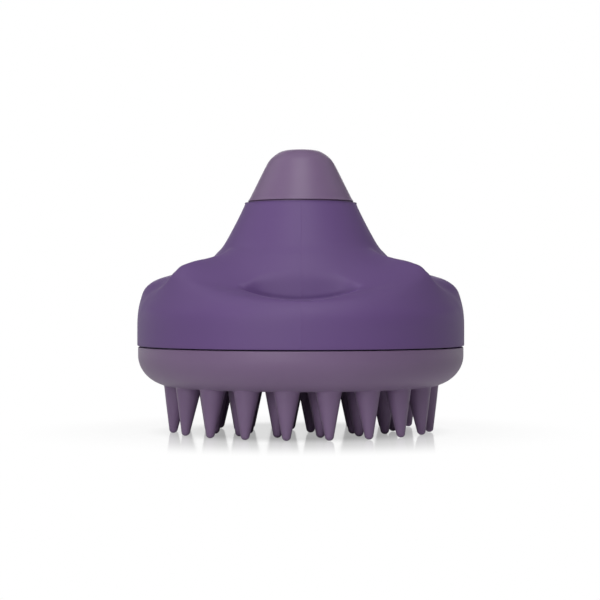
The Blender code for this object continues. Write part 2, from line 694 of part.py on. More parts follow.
def make_battery(name, y, tip_sign, parent):
    """A AAA cell along X; tip_sign says which end its positive nub is at."""
    tip = BATTERY_TIP_X
    shoulder = tip - BATTERY_NUB_LENGTH
    back = tip - BATTERY_LENGTH
    profile = ((0.0, back), (BATTERY_RADIUS - 0.5, back), (BATTERY_RADIUS, back + 0.5),
               (BATTERY_RADIUS, shoulder - 0.5), (BATTERY_RADIUS - 0.5, shoulder),
               (BATTERY_NUB_RADIUS, shoulder), (BATTERY_NUB_RADIUS, tip), (0.0, tip))
    profile = tuple((radius, tip_sign * x) for radius, x in profile)
    new_object(name, turned(profile, MOTOR_STEPS, "X", (0.0, y, BATTERY_Z)), BATTERY_WRAP, parent)


def make_contact_spring(name, y, end_sign, parent):
    """A conical spring between a contact plate and the flat end of a cell."""
    wire = CONTACT_WIRE_RADIUS
    steps = 26
    near_plate = CONTACT_INNER_X - GAP - wire
    near_cell = BATTERY_LENGTH - BATTERY_TIP_X + GAP + wire
    path = []
    for i in range(steps + 1):
        share = i / steps
        angle = 2.0 * math.pi * CONTACT_SPRING_TURNS * share
        radius = CONTACT_SPRING_WIDE + (CONTACT_SPRING_NARROW - CONTACT_SPRING_WIDE) * share
        x = near_plate + (near_cell - near_plate) * share
        path.append(Vector((end_sign * x, y + radius * math.cos(angle), BATTERY_Z + radius * math.sin(angle))))
    new_object(name, tube(path, wire, SPRING_SIDES), NICKEL, parent)


def make_contacts(parent):
    inner = CONTACT_INNER_X
    outer = CONTACT_INNER_X + CONTACT_THICKNESS
    low = BATTERY_Z - CONTACT_HALF_HEIGHT
    high = BATTERY_Z + CONTACT_HALF_HEIGHT
    new_object("contact_bridge", block((-outer, -BRIDGE_HALF_WIDTH, low), (-inner, BRIDGE_HALF_WIDTH, high)),
               NICKEL, parent)
    for name, y in (("contact_positive", -BATTERY_Y), ("contact_negative", BATTERY_Y)):
        plate = new_object(name, block((inner, y - CONTACT_HALF_WIDTH, low), (outer, y + CONTACT_HALF_WIDTH, high)),
                           NICKEL, parent)
        combine(plate, "UNION", name + "_tab",
                block((inner + 0.1, y - 1.5, TAB_Z - 0.2), (TAB_END_X, y + 1.5, TAB_Z + 0.2)))
    make_contact_spring("contact_spring_1", -BATTERY_Y, -1, parent)
    make_contact_spring("contact_spring_2", BATTERY_Y, 1, parent)


def make_wires(parent):
    beside_tab = TAB_END_X + 0.2 + WIRE_RADIUS
    board_end = BOARD_BOTTOM - 0.4
    routes = {
        "wire_red": (((beside_tab, -BATTERY_Y, TAB_Z), (WIRE_HOLE_X, -BATTERY_Y, 27.8),
                      (WIRE_HOLE_X, -BATTERY_Y, 33.0), (26.0, -8.2, 37.5), (20.5, -9.6, 41.8),
                      (14.5, -9.0, 46.0), (11.0, -8.0, board_end)), RED_WIRE),
        "wire_black": (((beside_tab, BATTERY_Y, TAB_Z), (WIRE_HOLE_X, BATTERY_Y, 27.8),
                        (WIRE_HOLE_X, BATTERY_Y, 33.0), (26.0, 9.2, 38.0), (18.0, 10.0, 44.0),
                        (9.0, 9.5, 46.0), (0.0, 9.2, 46.2), (-9.0, 9.2, 45.5), (-15.5, 7.5, 43.0),
                        (-18.2, 4.0, MOTOR_Z)), BLACK_WIRE),
        "wire_motor": (((-10.0, -8.0, board_end), (-14.0, -8.5, 47.0), (-18.4, -6.4, 43.5),
                        (-18.2, -4.0, MOTOR_Z)), BLUE_WIRE),
    }
    for name, (points, colour) in routes.items():
        new_object(name, tube(curve_through(points, 3), WIRE_RADIUS, 6), colour, parent)


# ---------------------------------------------------------------- motor

def make_motor(parent, rotor):
    centre = (0.0, 0.0, MOTOR_Z)
    bore = SHAFT_RADIUS + GAP
    inner = MOTOR_RADIUS - MOTOR_CAN_WALL
    nose_end = MOTOR_FRONT + MOTOR_NOSE_LENGTH
    can = ((inner, MOTOR_BACK), (MOTOR_RADIUS, MOTOR_BACK), (MOTOR_RADIUS, MOTOR_FRONT),
           (MOTOR_NOSE_RADIUS, MOTOR_FRONT), (MOTOR_NOSE_RADIUS, nose_end), (bore, nose_end),
           (bore, MOTOR_FRONT - MOTOR_CAN_WALL),
           (inner, MOTOR_FRONT - MOTOR_CAN_WALL))
    new_object("motor_can", turned(can, MOTOR_STEPS, "X", centre), STEEL, parent)
    cap_front = MOTOR_BACK - GAP
    cap_back = cap_front - END_CAP_LENGTH
    end_cap = ((bore, cap_back), (MOTOR_RADIUS, cap_back), (MOTOR_RADIUS, cap_front), (bore, cap_front))
    new_object("motor_end_cap", turned(end_cap, MOTOR_STEPS, "X", centre), DARK_PLASTIC, parent)
    for number, side in enumerate((-1, 1), start=1):
        new_object("motor_terminal_%d" % number,
                   block((TERMINAL_BACK, side * TERMINAL_Y - 0.4, MOTOR_Z - 0.9),
                         (cap_back - GAP, side * TERMINAL_Y + 0.4, MOTOR_Z + 0.9)),
                   BRASS, parent)
        new_object("motor_magnet_%d" % number, magnet_arc(side), FERRITE, parent)
    origin = (0.0, 0.0, MOTOR_Z)
    new_object("motor_shaft", rod(SHAFT_RADIUS, cap_back + 0.4, WEIGHT_FRONT + GAP, SMALL_STEPS, "X", centre),
               STEEL, rotor, origin)
    armature = ((bore, ARMATURE_BACK), (ARMATURE_RADIUS, ARMATURE_BACK), (ARMATURE_RADIUS, ARMATURE_FRONT),
                (bore, ARMATURE_FRONT))
    new_object("motor_armature", turned(armature, MOTOR_STEPS, "X", centre), STEEL, rotor, origin)
    hub = ((bore, WEIGHT_BACK - 1.0), (HUB_RADIUS, WEIGHT_BACK - 1.0), (HUB_RADIUS, WEIGHT_FRONT),
           (bore, WEIGHT_FRONT))
    weight = new_object("eccentric_weight", turned(hub, SMALL_STEPS, "X", centre), BRASS, rotor, origin)
    combine(weight, "UNION", "weight_half_disc", half_disc(bore + 0.6))


def magnet_arc(side):
    """One of the two curved magnets that line the motor can."""
    builder = bmesh.new()
    rings = []
    steps = 8
    for i in range(steps + 1):
        angle = math.radians(-60.0 + 120.0 * i / steps)
        ring = []
        for radius, x in ((MAGNET_INNER, ARMATURE_BACK), (MAGNET_OUTER, ARMATURE_BACK),
                          (MAGNET_OUTER, ARMATURE_FRONT), (MAGNET_INNER, ARMATURE_FRONT)):
            ring.append(builder.verts.new((x, side * radius * math.cos(angle),
                                           MOTOR_Z + radius * math.sin(angle))))
        rings.append(ring)
    skin_rings(builder, rings, closed=False)
    builder.faces.new(rings[0])
    builder.faces.new(rings[-1])
    return builder


def half_disc(inner_radius):
    """The heavy side of the eccentric weight: half a ring below the shaft."""
    builder = bmesh.new()
    rings = []
    steps = 12
    for i in range(steps + 1):
        angle = math.pi + math.pi * i / steps
        ring = []
        for radius, x in ((inner_radius, WEIGHT_BACK), (WEIGHT_RADIUS, WEIGHT_BACK),
                          (WEIGHT_RADIUS, WEIGHT_FRONT - 0.4), (inner_radius, WEIGHT_FRONT - 0.4)):
            ring.append(builder.verts.new((x, radius * math.cos(angle), MOTOR_Z + radius * math.sin(angle))))
        rings.append(ring)
    skin_rings(builder, rings, closed=False)
    builder.faces.new(rings[0])
    builder.faces.new(rings[-1])
    return builder


def make_motor_clamp(parent):
    """A strap over the motor with a screwed foot on each side, as an outline extruded along X."""
    inner = MOTOR_RADIUS + GAP
    outer = inner + CLAMP_THICKNESS
    foot_bottom = CRADLE_TOP + GAP
    foot_top = foot_bottom + 1.5
    steps = 12
    arch = [math.pi * i / steps for i in range(steps + 1)]
    outline = [(CRADLE_HALF_WIDTH, foot_top), (CRADLE_HALF_WIDTH, foot_bottom), (inner, foot_bottom)]
    outline += [(inner * math.cos(a), MOTOR_Z + inner * math.sin(a)) for a in arch]
    outline += [(-inner, foot_bottom), (-CRADLE_HALF_WIDTH, foot_bottom), (-CRADLE_HALF_WIDTH, foot_top),
                (-outer, foot_top)]
    outline += [(outer * math.cos(a), MOTOR_Z + outer * math.sin(a)) for a in arch[::-1]]
    outline += [(outer, foot_top)]
    builder = bmesh.new()
    back = [builder.verts.new((CLAMP_X - CLAMP_WIDTH / 2.0, y, z)) for y, z in outline]
    front = [builder.verts.new((CLAMP_X + CLAMP_WIDTH / 2.0, y, z)) for y, z in outline]
    skin_rings(builder, [back, front], closed=False)
    builder.faces.new(back)
    builder.faces.new(front)
    clamp = new_object("motor_clamp", builder, DARK_PLASTIC, parent)
    for number, side in enumerate((-1, 1), start=1):
        place = (CLAMP_X, side * CLAMP_SCREW_Y, 0.0)
        combine(clamp, "DIFFERENCE", "clamp_screw_hole_%d" % number,
                rod(SCREW_HOLE_RADIUS, foot_bottom - 1.0, foot_top + 1.0, centre=place))
        head = (CLAMP_X, side * CLAMP_SCREW_Y, foot_top + GAP + 1.5)
        screw("clamp_screw_%d" % number, head, -1, 5.0, 2.1, parent)


# ---------------------------------------------------------------- switch and button

def make_switch(parent, plunger_axis):
    board = new_object("switch_board", rod(BOARD_RADIUS, BOARD_BOTTOM, BOARD_TOP, 32), BOARD_GREEN, parent)
    for number, side in enumerate((-1, 1), start=1):
        place = (0.0, side * POST_Y, 0.0)
        combine(board, "DIFFERENCE", "board_hole_%d" % number,
                rod(SCREW_HOLE_RADIUS, BOARD_BOTTOM - 1.0, BOARD_TOP + 1.0, centre=place))
        screw("board_screw_%d" % number, (0.0, side * POST_Y, BOARD_TOP + GAP + 1.5), -1, 6.0, 2.1, parent)
    half = SWITCH_SIZE / 2.0
    switch = new_object("push_switch", block((-half, -half, BOARD_TOP + GAP), (half, half, SWITCH_TOP)),
                        DARK_PLASTIC, parent)
    combine(switch, "DIFFERENCE", "switch_bore",
            rod(PLUNGER_RADIUS + GAP, SWITCH_BORE_BOTTOM, SWITCH_TOP + 1.0))
    plunger_bottom = SWITCH_BORE_BOTTOM + BUTTON_TRAVEL + 0.4
    plunger = ((0.0, plunger_bottom), (PLUNGER_RADIUS, plunger_bottom), (PLUNGER_RADIUS, PLUNGER_TOP - 0.4),
               (PLUNGER_RADIUS - 0.4, PLUNGER_TOP), (0.0, PLUNGER_TOP))
    new_object("switch_plunger", turned(plunger, SMALL_STEPS), GREY_PLASTIC, plunger_axis)


def make_return_spring(parent):
    steps_per_turn = 10
    low = BOARD_TOP + GAP + SPRING_WIRE_RADIUS
    high = WEB_BOTTOM - GAP - SPRING_WIRE_RADIUS
    steps = SPRING_TURNS * steps_per_turn
    path = []
    for i in range(steps + 1):
        angle = 2.0 * math.pi * i / steps_per_turn
        path.append(Vector((SPRING_RADIUS * math.cos(angle), SPRING_RADIUS * math.sin(angle),
                            low + (high - low) * i / steps)))
    new_object("return_spring", tube(path, SPRING_WIRE_RADIUS, SPRING_SIDES), STEEL, parent)


def make_button(parent):
    """The rigid core with its flange, web and stem, and the soft cap that covers it."""
    stem_radius = 2.2
    stem_bottom = PLUNGER_TOP + GAP
    flange_top = NECK_SHOULDER - GAP
    flange_bottom = flange_top - 1.5
    core = ((0.0, stem_bottom), (stem_radius, stem_bottom), (stem_radius, WEB_BOTTOM), (9.6, WEB_BOTTOM),
            (9.6, flange_bottom), (15.0, flange_bottom), (15.0, flange_top), (12.0, flange_top),
            (11.8, 60.8), (9.6, 65.0), (8.1, 65.0), (9.8, 61.8), (0.0, 61.8))
    new_object("button_core", turned(core, BUTTON_STEPS), GREY_PLASTIC, parent)
    skirt_bottom = flange_top + GAP
    cap = ((0.0, CAP_TOP), (3.7, CAP_TOP), (5.6, 74.0), (7.1, 73.1), (8.3, 71.6), (9.5, 69.4), (11.6, 65.2),
           (13.7, 61.6), (CAP_RADIUS, 60.9), (CAP_RADIUS, skirt_bottom), (12.3, skirt_bottom),
           (12.1, 60.8), (9.9, 65.3), (7.7, 69.2), (6.6, 71.0), (4.5, 72.3), (0.0, 72.6))
    new_object("button_cap", turned(cap, BUTTON_STEPS), MAUVE_SILICONE, parent)


# ---------------------------------------------------------------- assembly

def build():
    clear_scene()
    seal_axis = new_empty("casing_lift_axis", (0.0, 0.0, SEAL_HEIGHT))
    casing_axis = new_empty("casing_twist_axis", (0.0, 0.0, 0.0))
    button_axis = new_empty("button_axis", (0.0, 0.0, NECK_TOP))
    plunger_axis = new_empty("plunger_axis", (0.0, 0.0, SWITCH_TOP))
    rotor_axis = new_empty("rotor_axis", (0.0, 0.0, MOTOR_Z))
    make_bristle_pad()
    make_base_plate()
    make_seal_ring(seal_axis)
    make_body_shell(casing_axis)
    make_chassis(casing_axis)
    make_battery("battery_1", -BATTERY_Y, 1, casing_axis)
    make_battery("battery_2", BATTERY_Y, -1, casing_axis)
    make_contacts(casing_axis)
    make_motor(casing_axis, rotor_axis)
    make_motor_clamp(casing_axis)
    make_switch(casing_axis, plunger_axis)
    make_wires(casing_axis)
    make_return_spring(casing_axis)
    make_button(button_axis)


build()
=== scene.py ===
"""Looks for the scalp massager brush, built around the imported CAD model.

Sizes are in millimetres unless a name says otherwise, and meshes are built in metres.
The brush stands on its bristle tips at z = 0, with its front facing -Y.
"""
import json
import math

import bmesh
import bpy
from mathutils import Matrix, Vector
from mathutils.geometry import delaunay_2d_cdt


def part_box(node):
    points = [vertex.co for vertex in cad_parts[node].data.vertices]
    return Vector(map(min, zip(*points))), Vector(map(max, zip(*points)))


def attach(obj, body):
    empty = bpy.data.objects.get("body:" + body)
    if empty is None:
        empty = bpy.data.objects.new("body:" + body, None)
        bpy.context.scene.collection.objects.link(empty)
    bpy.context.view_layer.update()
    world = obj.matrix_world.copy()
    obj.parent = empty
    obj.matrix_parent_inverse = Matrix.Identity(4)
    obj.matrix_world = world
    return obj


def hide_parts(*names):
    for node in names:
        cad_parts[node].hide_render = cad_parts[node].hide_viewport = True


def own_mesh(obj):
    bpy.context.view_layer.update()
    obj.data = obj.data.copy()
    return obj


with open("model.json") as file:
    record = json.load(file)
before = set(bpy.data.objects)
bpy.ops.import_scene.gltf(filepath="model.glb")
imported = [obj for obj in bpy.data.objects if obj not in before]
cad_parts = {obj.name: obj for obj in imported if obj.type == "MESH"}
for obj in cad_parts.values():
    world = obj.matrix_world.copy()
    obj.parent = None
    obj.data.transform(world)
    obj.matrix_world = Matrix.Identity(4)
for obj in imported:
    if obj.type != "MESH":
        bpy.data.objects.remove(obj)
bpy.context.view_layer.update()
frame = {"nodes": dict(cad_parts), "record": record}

MM = 0.001


def measured(node):
    """Lowest and highest corners of a CAD node in millimetres, to a hundredth."""
    return [[round(value / MM, 2) for value in corner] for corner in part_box(node)]


SHELL_LOW, SHELL_HIGH = measured("body_shell")
PAD_HIGH = measured("bristle_pad")[1]
PLATE_LOW, PLATE_HIGH = measured("base_plate")
SEAL_LOW, SEAL_HIGH = measured("seal_ring")
CAP_LOW, CAP_HIGH = measured("button_cap")
SCREW_LOW, SCREW_HIGH = measured("chassis_screw_1")

# Casing shell: profiles from the mouth up to the neck (radius, height), row by row, at four azimuths
MOUTH = (SHELL_HIGH[0], SHELL_LOW[2])
NECK_TOP = SHELL_HIGH[2]
NECK_BORE = 14.35
NECK_POCKET = 15.4
NECK_SHOULDER = 56.5
SHELL_WALL = 2.0
NECK_ROWS = ((20.3, 49.2), (17.35, 54.5), (15.0, 59.3), (14.8, NECK_TOP))
PROFILES = {
    "flare": (
        MOUTH, (43.1, 26.6), (43.1, 28.8), (42.9, 30.6), (42.35, 32.1), (41.4, 33.4),
        (40.1, 34.5), (38.0, 35.15), (33.6, 35.9), (29.4, 38.2), (26.8, 40.8), (24.9, 43.4),
        (22.9, 46.2),
    ) + NECK_ROWS,
    "bulge": (
        MOUTH, (43.1, 27.0), (43.0, 29.6), (42.5, 32.0), (41.4, 34.2), (40.3, 36.8),
        (39.3, 39.3), (38.1, 41.8), (36.0, 43.8), (32.8, 44.9), (28.8, 45.6), (25.2, 46.5),
        (22.3, 47.6),
    ) + NECK_ROWS,
    "valley": (
        MOUTH, (43.1, 27.0), (43.05, 29.7), (42.7, 32.2), (41.6, 34.5), (40.0, 36.7),
        (38.2, 38.4), (36.1, 39.8), (33.6, 41.2), (30.8, 42.5), (27.5, 43.9), (24.3, 45.3),
        (22.2, 47.0),
    ) + NECK_ROWS,
    "side": (
        MOUTH, (43.1, 27.0), (43.05, 29.8), (42.8, 32.6), (42.2, 35.2), (41.4, 37.3),
        (39.9, 38.9), (37.6, 40.2), (34.0, 41.3), (30.0, 42.4), (26.8, 43.6), (24.2, 45.0),
        (22.2, 47.0),
    ) + NECK_ROWS,
}
# Where each row of the bulge ends in a ridge, in degrees from the front; the valley lies beyond it
RIDGE_AZIMUTHS = (74.0,) * 3 + (73.0, 71.0, 65.5, 60.5, 58.5, 57.5) + (57.0,) * 8
VALLEY_OFFSET = 8.0             # degrees from the ridge to the bottom of the valley
BULGE_SPREAD = 2.0              # power by which the flare turns into the bulge
# Finger dent: a steep wall at the back and a ledge below it
DENT_WALL_TOP = (26.4, 41.3)
DENT_WALL_SLOPE = 0.20          # how far the wall comes forward for each millimetre down
DENT_WALL_BOW = 0.0095          # how the wall curves in plan: first backwards, then forwards again
DENT_WALL_RETURN = 9.2e-5
DENT_WALL_ROUNDS = 12           # rounds of the search for the wall's radius
DENT_LEDGE_HEIGHT = 34.5
DENT_LEDGE_BEND = 0.0128        # how the ledge climbs towards the ends of the dent
DENT_LEDGE_RISE = 0.012         # how the ledge climbs outwards
DENT_CORNER_ROUNDS = 6          # rounds of the search for the corner of wall and ledge
DENT_UNDERCUT = 0.5             # the foot of the wall is set back, so the crease is in shadow
DENT_UNDERCUT_HEIGHT = 1.1
DENT_UNDERCUT_SHARE = 0.6       # the most of the wall that the undercut may take up
DENT_UNDERCUT_REACH = 4.0       # height of wall over which the undercut grows to its full depth
DENT_BROW_ROUNDING = 1.9        # how far the top edge of the wall is rounded over
DENT_BROW_SHARE = 0.75          # the most of the wall that the rounding may take up
DENT_BROW_STEPS = 6
DENT_FIRST_ROW = 24             # fine rows between which the dent is laid out
DENT_LAST_ROW = 92
DENT_ROW_SHARES = (22, 14, 18)  # rows below the lip, on the ledge and up the wall
DENT_LEAST_STEP = 0.05          # the closest that rows on the ledge and the wall may come
SHORTEST_WALL = 0.001
SHORTEST_STEP = 1e-9
DENT_END = math.radians(18.0)   # just past the end of the dent, where the rows start to return
DENT_ROWS_PLAIN = math.radians(40.0)
CONE_ROW = 13                   # row where the plain cone of the neck begins
SHELL_COLUMNS = 300
ROW_STEPS = 8                   # fine rows for each row of a profile
EDGE_SOFTENING = 3              # rounds of smoothing over the moulded shape
UNSOFTENED_ROWS = 3             # rows at the top of the neck that stay sharp
EDGE_ROUNDING = 0.25
NECK_POCKET_BOTTOM = 55.2
PARTING_LINE_HEIGHT = 0.035
PARTING_LINE_WIDTH = 0.22       # degrees

# Screw bosses under the casing's roof
BOSS_X = 0.5 * (SCREW_LOW[0] + SCREW_HIGH[0])
BOSS_Y = 0.5 * (SCREW_LOW[1] + SCREW_HIGH[1])
BOSS_RADIUS = 3.2
BOSS_HOLE_RADIUS = 1.4
BOSS_BOTTOM = 31.5
BOSS_HOLE_TOP = 40.0
BOSS_TOP = 43.3
BOSS_SLOPE = 0.47
BOSS_SLOPED = 0.5               # depth below the top within which points follow the slope
BOSS_EDGE_ROUNDING = 0.3
BOSS_COLUMNS = 48

# Bristle pad
PAD_RADIUS = PAD_HIGH[0]
PAD_BOTTOM = 12.0
PAD_TOP = PAD_HIGH[2]
PAD_WALL = 2.0
PAD_CORNER_WIDTH = 9.5
PAD_CORNER_HEIGHT = 8.2
PAD_COLUMNS = 192
PAD_CORNER_STEPS = 14
PAD_INSIDE_STEPS = 8            # the inside needs only the lower part of the corner
PAD_RIM_SEAT = ((38.2, 20.2), (38.2, 17.0), (39.5, 16.8))  # inside, where the base plate's edge sits
PAD_RIM_FOOT = 20.4             # where the inside of the rim meets that seat
PAD_RIM_ROUNDING = 0.3
PAD_FIELD_RADIUS = 38.6         # the triangulated underside ends here and the turned wall begins
PAD_FIELD_SPACING = 2.0
PAD_FIELD_CORNER_SPACING = 0.7
PAD_FIELD_STRETCH = 1.3         # spacing round a ring for each unit of spacing between rings
PAD_FIELD_CLEARANCE = 0.35      # from the foot of a bristle's fillet
BRISTLE_RINGS = (               # count, radius at the root, radius at the tip, first azimuth
    (20, 33.1, 34.0, 12.0),
    (14, 23.9, 24.4, 11.7),
    (10, 16.3, 16.6, 18.0),
    (4, 6.2, 6.3, 24.0),
)
BRISTLE_COLUMNS = 28
BRISTLE_ROOT_RADIUS = 3.2
BRISTLE_TIP_RADIUS = 1.15
BRISTLE_FILLET = 0.45
BRISTLE_CONE_STEPS = 6
BRISTLE_ROUND_STEPS = 5
BRISTLE_HOLE_MARGIN = 0.985     # triangles whose middle lies inside this share of a root are left out
BRISTLE_SETTLING = 5.0          # depth over which a bristle's rows turn from the pad's curve to level

# Base plate, seal, button cap and return spring
PLATE_EDGE_ROUNDING = 0.3
SEAL_SECTION_RADIUS = 0.75
SEAL_RADIUS = SEAL_HIGH[0] - SEAL_SECTION_RADIUS
SEAL_HEIGHT = 0.5 * (SEAL_LOW[2] + SEAL_HIGH[2])
SEAL_SECTION_STEPS = 16
CAP_OUTSIDE = (
    (0.0, CAP_HIGH[2]), (3.0, 74.3), (4.95, 73.95), (6.6, 73.05), (8.2, 71.6), (9.5, 69.4), (11.6, 65.2),
    (13.55, 61.3),
)
CAP_FOOT_AND_INSIDE = (
    (13.85, 60.95), (13.95, 60.75), (13.8, 60.62), (13.4, 60.6), (13.4, CAP_LOW[2]), (12.3, CAP_LOW[2]),
    (12.1, 60.8), (9.9, 65.3), (7.7, 69.2), (6.6, 71.0), (4.5, 72.3), (0.0, 72.6),
)
CAP_CURVE_STEPS = 8
CAP_SHARP_DEGREES = 50.0
SPRING_TURNS = 5
SPRING_STEPS = 40               # for each turn
SPRING_RADIUS = 7.0
SPRING_WIRE_RADIUS = 0.35
SPRING_WIRE_STEPS = 10
SPRING_BOTTOM = 51.45           # middle of the wire at either end
SPRING_TOP = 59.65
TURNED_STEPS = 160              # columns of the large turned pieces

# Thread between the head's collar and the casing
THREAD_STARTS = 3
THREAD_FIRST = 4.0
THREAD_LEAD = 18.0
THREAD_ARC = 30.0
THREAD_HEIGHT = 1.3
THREAD_STEPS = 24
COLLAR_RADIUS = 37.3
LUG_INSET = 0.6                 # how deep a lug is rooted in the collar
LUG_OUTER_RADIUS = 39.0
LUG_CHAMFER = 0.25
RIDGE_OUTER_RADIUS = 41.6
RIDGE_CHAMFER = 0.1
RIDGE_BOTTOM = 24.6
GAP = 0.3

# Camera and stage, in metres
CAMERA_PLACE = (-0.0002, -0.490, 0.0360)
CAMERA_TARGET = (-0.0002, 0.0, 0.03466)
CAMERA_LENS = 111.1             # lens and sensor in millimetres
CAMERA_SENSOR = 36.0


# ---- mesh helpers

def smooth_between(value, low, high):
    t = min(max((value - low) / (high - low), 0.0), 1.0)
    return t * t * t * (t * (6.0 * t - 15.0) + 10.0)


def curve_through(points, steps):
    """Points along a Catmull-Rom curve through the given points."""
    points = [Vector(p) for p in points]
    padded = [2.0 * points[0] - points[1]] + points + [2.0 * points[-1] - points[-2]]
    path = []
    for before, start, end, after in zip(padded, padded[1:], padded[2:], padded[3:]):
        for i in range(steps):
            t = i / steps
            path.append(0.5 * (2.0 * start + (end - before) * t
                               + (2.0 * before - 5.0 * start + 4.0 * end - after) * t ** 2
                               + (3.0 * start - before - 3.0 * end + after) * t ** 3))
    path.append(points[-1])
    return path


def skin_rings(builder, rings, closed):
    """Bridge successive rings of vertices; a ring of one vertex is a point on the axis."""
    pairs = list(zip(rings, rings[1:]))
    if closed:
        pairs.append((rings[-1], rings[0]))
    for first, second in pairs:
        steps = max(len(first), len(second))
        for i in range(steps):
            j = (i + 1) % steps
            corners = []
            for ring, index in ((first, i), (first, j), (second, j), (second, i)):
                vertex = ring[index % len(ring)]
                if vertex not in corners:
                    corners.append(vertex)
            if len(corners) > 2:
                builder.faces.new(corners)


def level_ring(builder, radius, height, steps):
    """A ring of vertices about Z, or one vertex on the axis where the radius is nothing."""
    if radius == 0.0:
        return [builder.verts.new((0.0, 0.0, height))]
    angles = [2.0 * math.pi * i / steps for i in range(steps)]
    return [builder.verts.new((radius * math.cos(a), radius * math.sin(a), height)) for a in angles]


def turned(profile, steps, centre=(0.0, 0.0, 0.0)):
    """Turn a profile of (radius, height) points about Z."""
    builder = bmesh.new()
    rings = [level_ring(builder, radius, height, steps) for radius, height in profile]
    skin_rings(builder, rings, closed=profile[0][0] != 0.0)
    bmesh.ops.translate(builder, verts=builder.verts, vec=centre)
    return builder


def rounded(profile, radius, corners, steps=4):
    """Round the named corners of a profile with short arcs."""
    points = []
    for i, point in enumerate(profile):
        if i not in corners:
            points.append(Vector(point))
            continue
        here = Vector(point)
        before = here + (Vector(profile[i - 1]) - here).normalized() * radius
        after = here + (Vector(profile[(i + 1) % len(profile)]) - here).normalized() * radius
        for k in range(steps + 1):
            t = k / steps
            points.append(before.lerp(here, t).lerp(here.lerp(after, t), t))
    return [tuple(p) for p in points]


def finish_piece(name, builder, body, material, nodes=(), sharp_degrees=40.0):
    """Make an object from a bmesh in millimetres and tell the frame what it rides on and replaces."""
    bmesh.ops.recalc_face_normals(builder, faces=builder.faces)
    bmesh.ops.scale(builder, verts=builder.verts, vec=(MM, MM, MM))
    mesh = bpy.data.meshes.new(name)
    builder.to_mesh(mesh)
    builder.free()
    mesh.shade_smooth()
    mesh.set_sharp_from_angle(angle=math.radians(sharp_degrees))
    for node in nodes:
        frame["nodes"][node].name = "cad_" + node
    piece = bpy.data.objects.new(name, mesh)
    bpy.context.scene.collection.objects.link(piece)
    piece.data.materials.append(material)
    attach(piece, body)
    if nodes:
        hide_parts(*nodes)
    return piece


# ---- material helpers

class Nodes:
    """A short way to write a node tree."""

    def __init__(self, tree):
        self.tree = tree

    def add(self, kind, **settings):
        node = self.tree.nodes.new(kind)
        for key, value in settings.items():
            setattr(node, key, value)
        return node

    def link(self, source, target):
        self.tree.links.new(source, target)

    def ramp(self, value, start, end, low=0.0, high=1.0):
        """Turn a value smoothly from low at the start to high at the end."""
        node = self.add("ShaderNodeMapRange", interpolation_type="SMOOTHSTEP")
        for name, setting in (("From Min", start), ("From Max", end), ("To Min", low), ("To Max", high)):
            node.inputs[name].default_value = setting
        self.link(value, node.inputs["Value"])
        return node.outputs["Result"]

    def maths(self, operation, first, second):
        """A Math node; each side is a socket or a number."""
        node = self.add("ShaderNodeMath", operation=operation)
        for value, target in zip((first, second), node.inputs):
            if isinstance(value, float):
                target.default_value = value
            else:
                self.link(value, target)
        return node.outputs[0]

    def mixed(self, factor, first, second):
        """Two shaders mixed: the first where the factor is 0, the second where it is 1."""
        node = self.add("ShaderNodeMixShader")
        for value, target in zip((factor, first, second), node.inputs):
            self.link(value, target)
        return node.outputs[0]


class Surface(Nodes):
    """The node tree of a new material, with its Principled shader and its own textures."""

    def __init__(self, name):
        self.material = bpy.data.materials.new(name)
        self.material.use_nodes = True
        super().__init__(self.material.node_tree)
        self.shader = self.tree.nodes["Principled BSDF"]
        self.place = self.add("ShaderNodeTexCoord").outputs["Object"]

    def set(self, **values):
        for key, value in values.items():
            self.shader.inputs[key.replace("_", " ")].default_value = value

    def noise(self, size_mm, detail=2.0, roughness=0.5, stretch=(1.0, 1.0, 1.0)):
        mapping = self.add("ShaderNodeMapping")
        mapping.inputs["Scale"].default_value = stretch
        self.link(self.place, mapping.inputs["Vector"])
        node = self.add("ShaderNodeTexNoise")
        node.inputs["Scale"].default_value = 1.0 / (size_mm * MM)
        node.inputs["Detail"].default_value = detail
        node.inputs["Roughness"].default_value = roughness
        self.link(mapping.outputs["Vector"], node.inputs["Vector"])
        return node.outputs["Fac"]

    def between(self, factor, low, high):
        """Map a noise, which stays mostly between 0.3 and 0.7, onto a range of values."""
        node = self.add("ShaderNodeMapRange")
        node.inputs["From Min"].default_value = 0.3
        node.inputs["From Max"].default_value = 0.7
        node.inputs["To Min"].default_value = low
        node.inputs["To Max"].default_value = high
        self.link(factor, node.inputs["Value"])
        return node.outputs["Result"]

    def colours(self, factor, stops):
        node = self.add("ShaderNodeValToRGB")
        ramp = node.color_ramp
        while len(ramp.elements) < len(stops):
            ramp.elements.new(0.5)
        for element, (position, colour) in zip(ramp.elements, stops):
            element.position = position
            element.color = (*colour, 1.0)
        self.link(factor, node.inputs["Fac"])
        return node.outputs["Color"]

    def tint(self, factor, colour, dark, light):
        """Let the base colour drift between a darker and a lighter shade."""
        stops = ((0.3, shade(colour, dark)), (0.7, shade(colour, light)))
        self.link(self.colours(factor, stops), self.shader.inputs["Base Color"])

    def bump(self, height, depth_mm, strength=1.0, under=None):
        node = self.add("ShaderNodeBump")
        node.inputs["Strength"].default_value = strength
        node.inputs["Distance"].default_value = depth_mm * MM
        self.link(height, node.inputs["Height"])
        if under is not None:
            self.link(under, node.inputs["Normal"])
        return node.outputs["Normal"]


def shade(colour, factor):
    return tuple(min(1.0, c * factor) for c in colour)


PURPLE = (0.151, 0.081, 0.247)
MAUVE = (0.221, 0.142, 0.265)


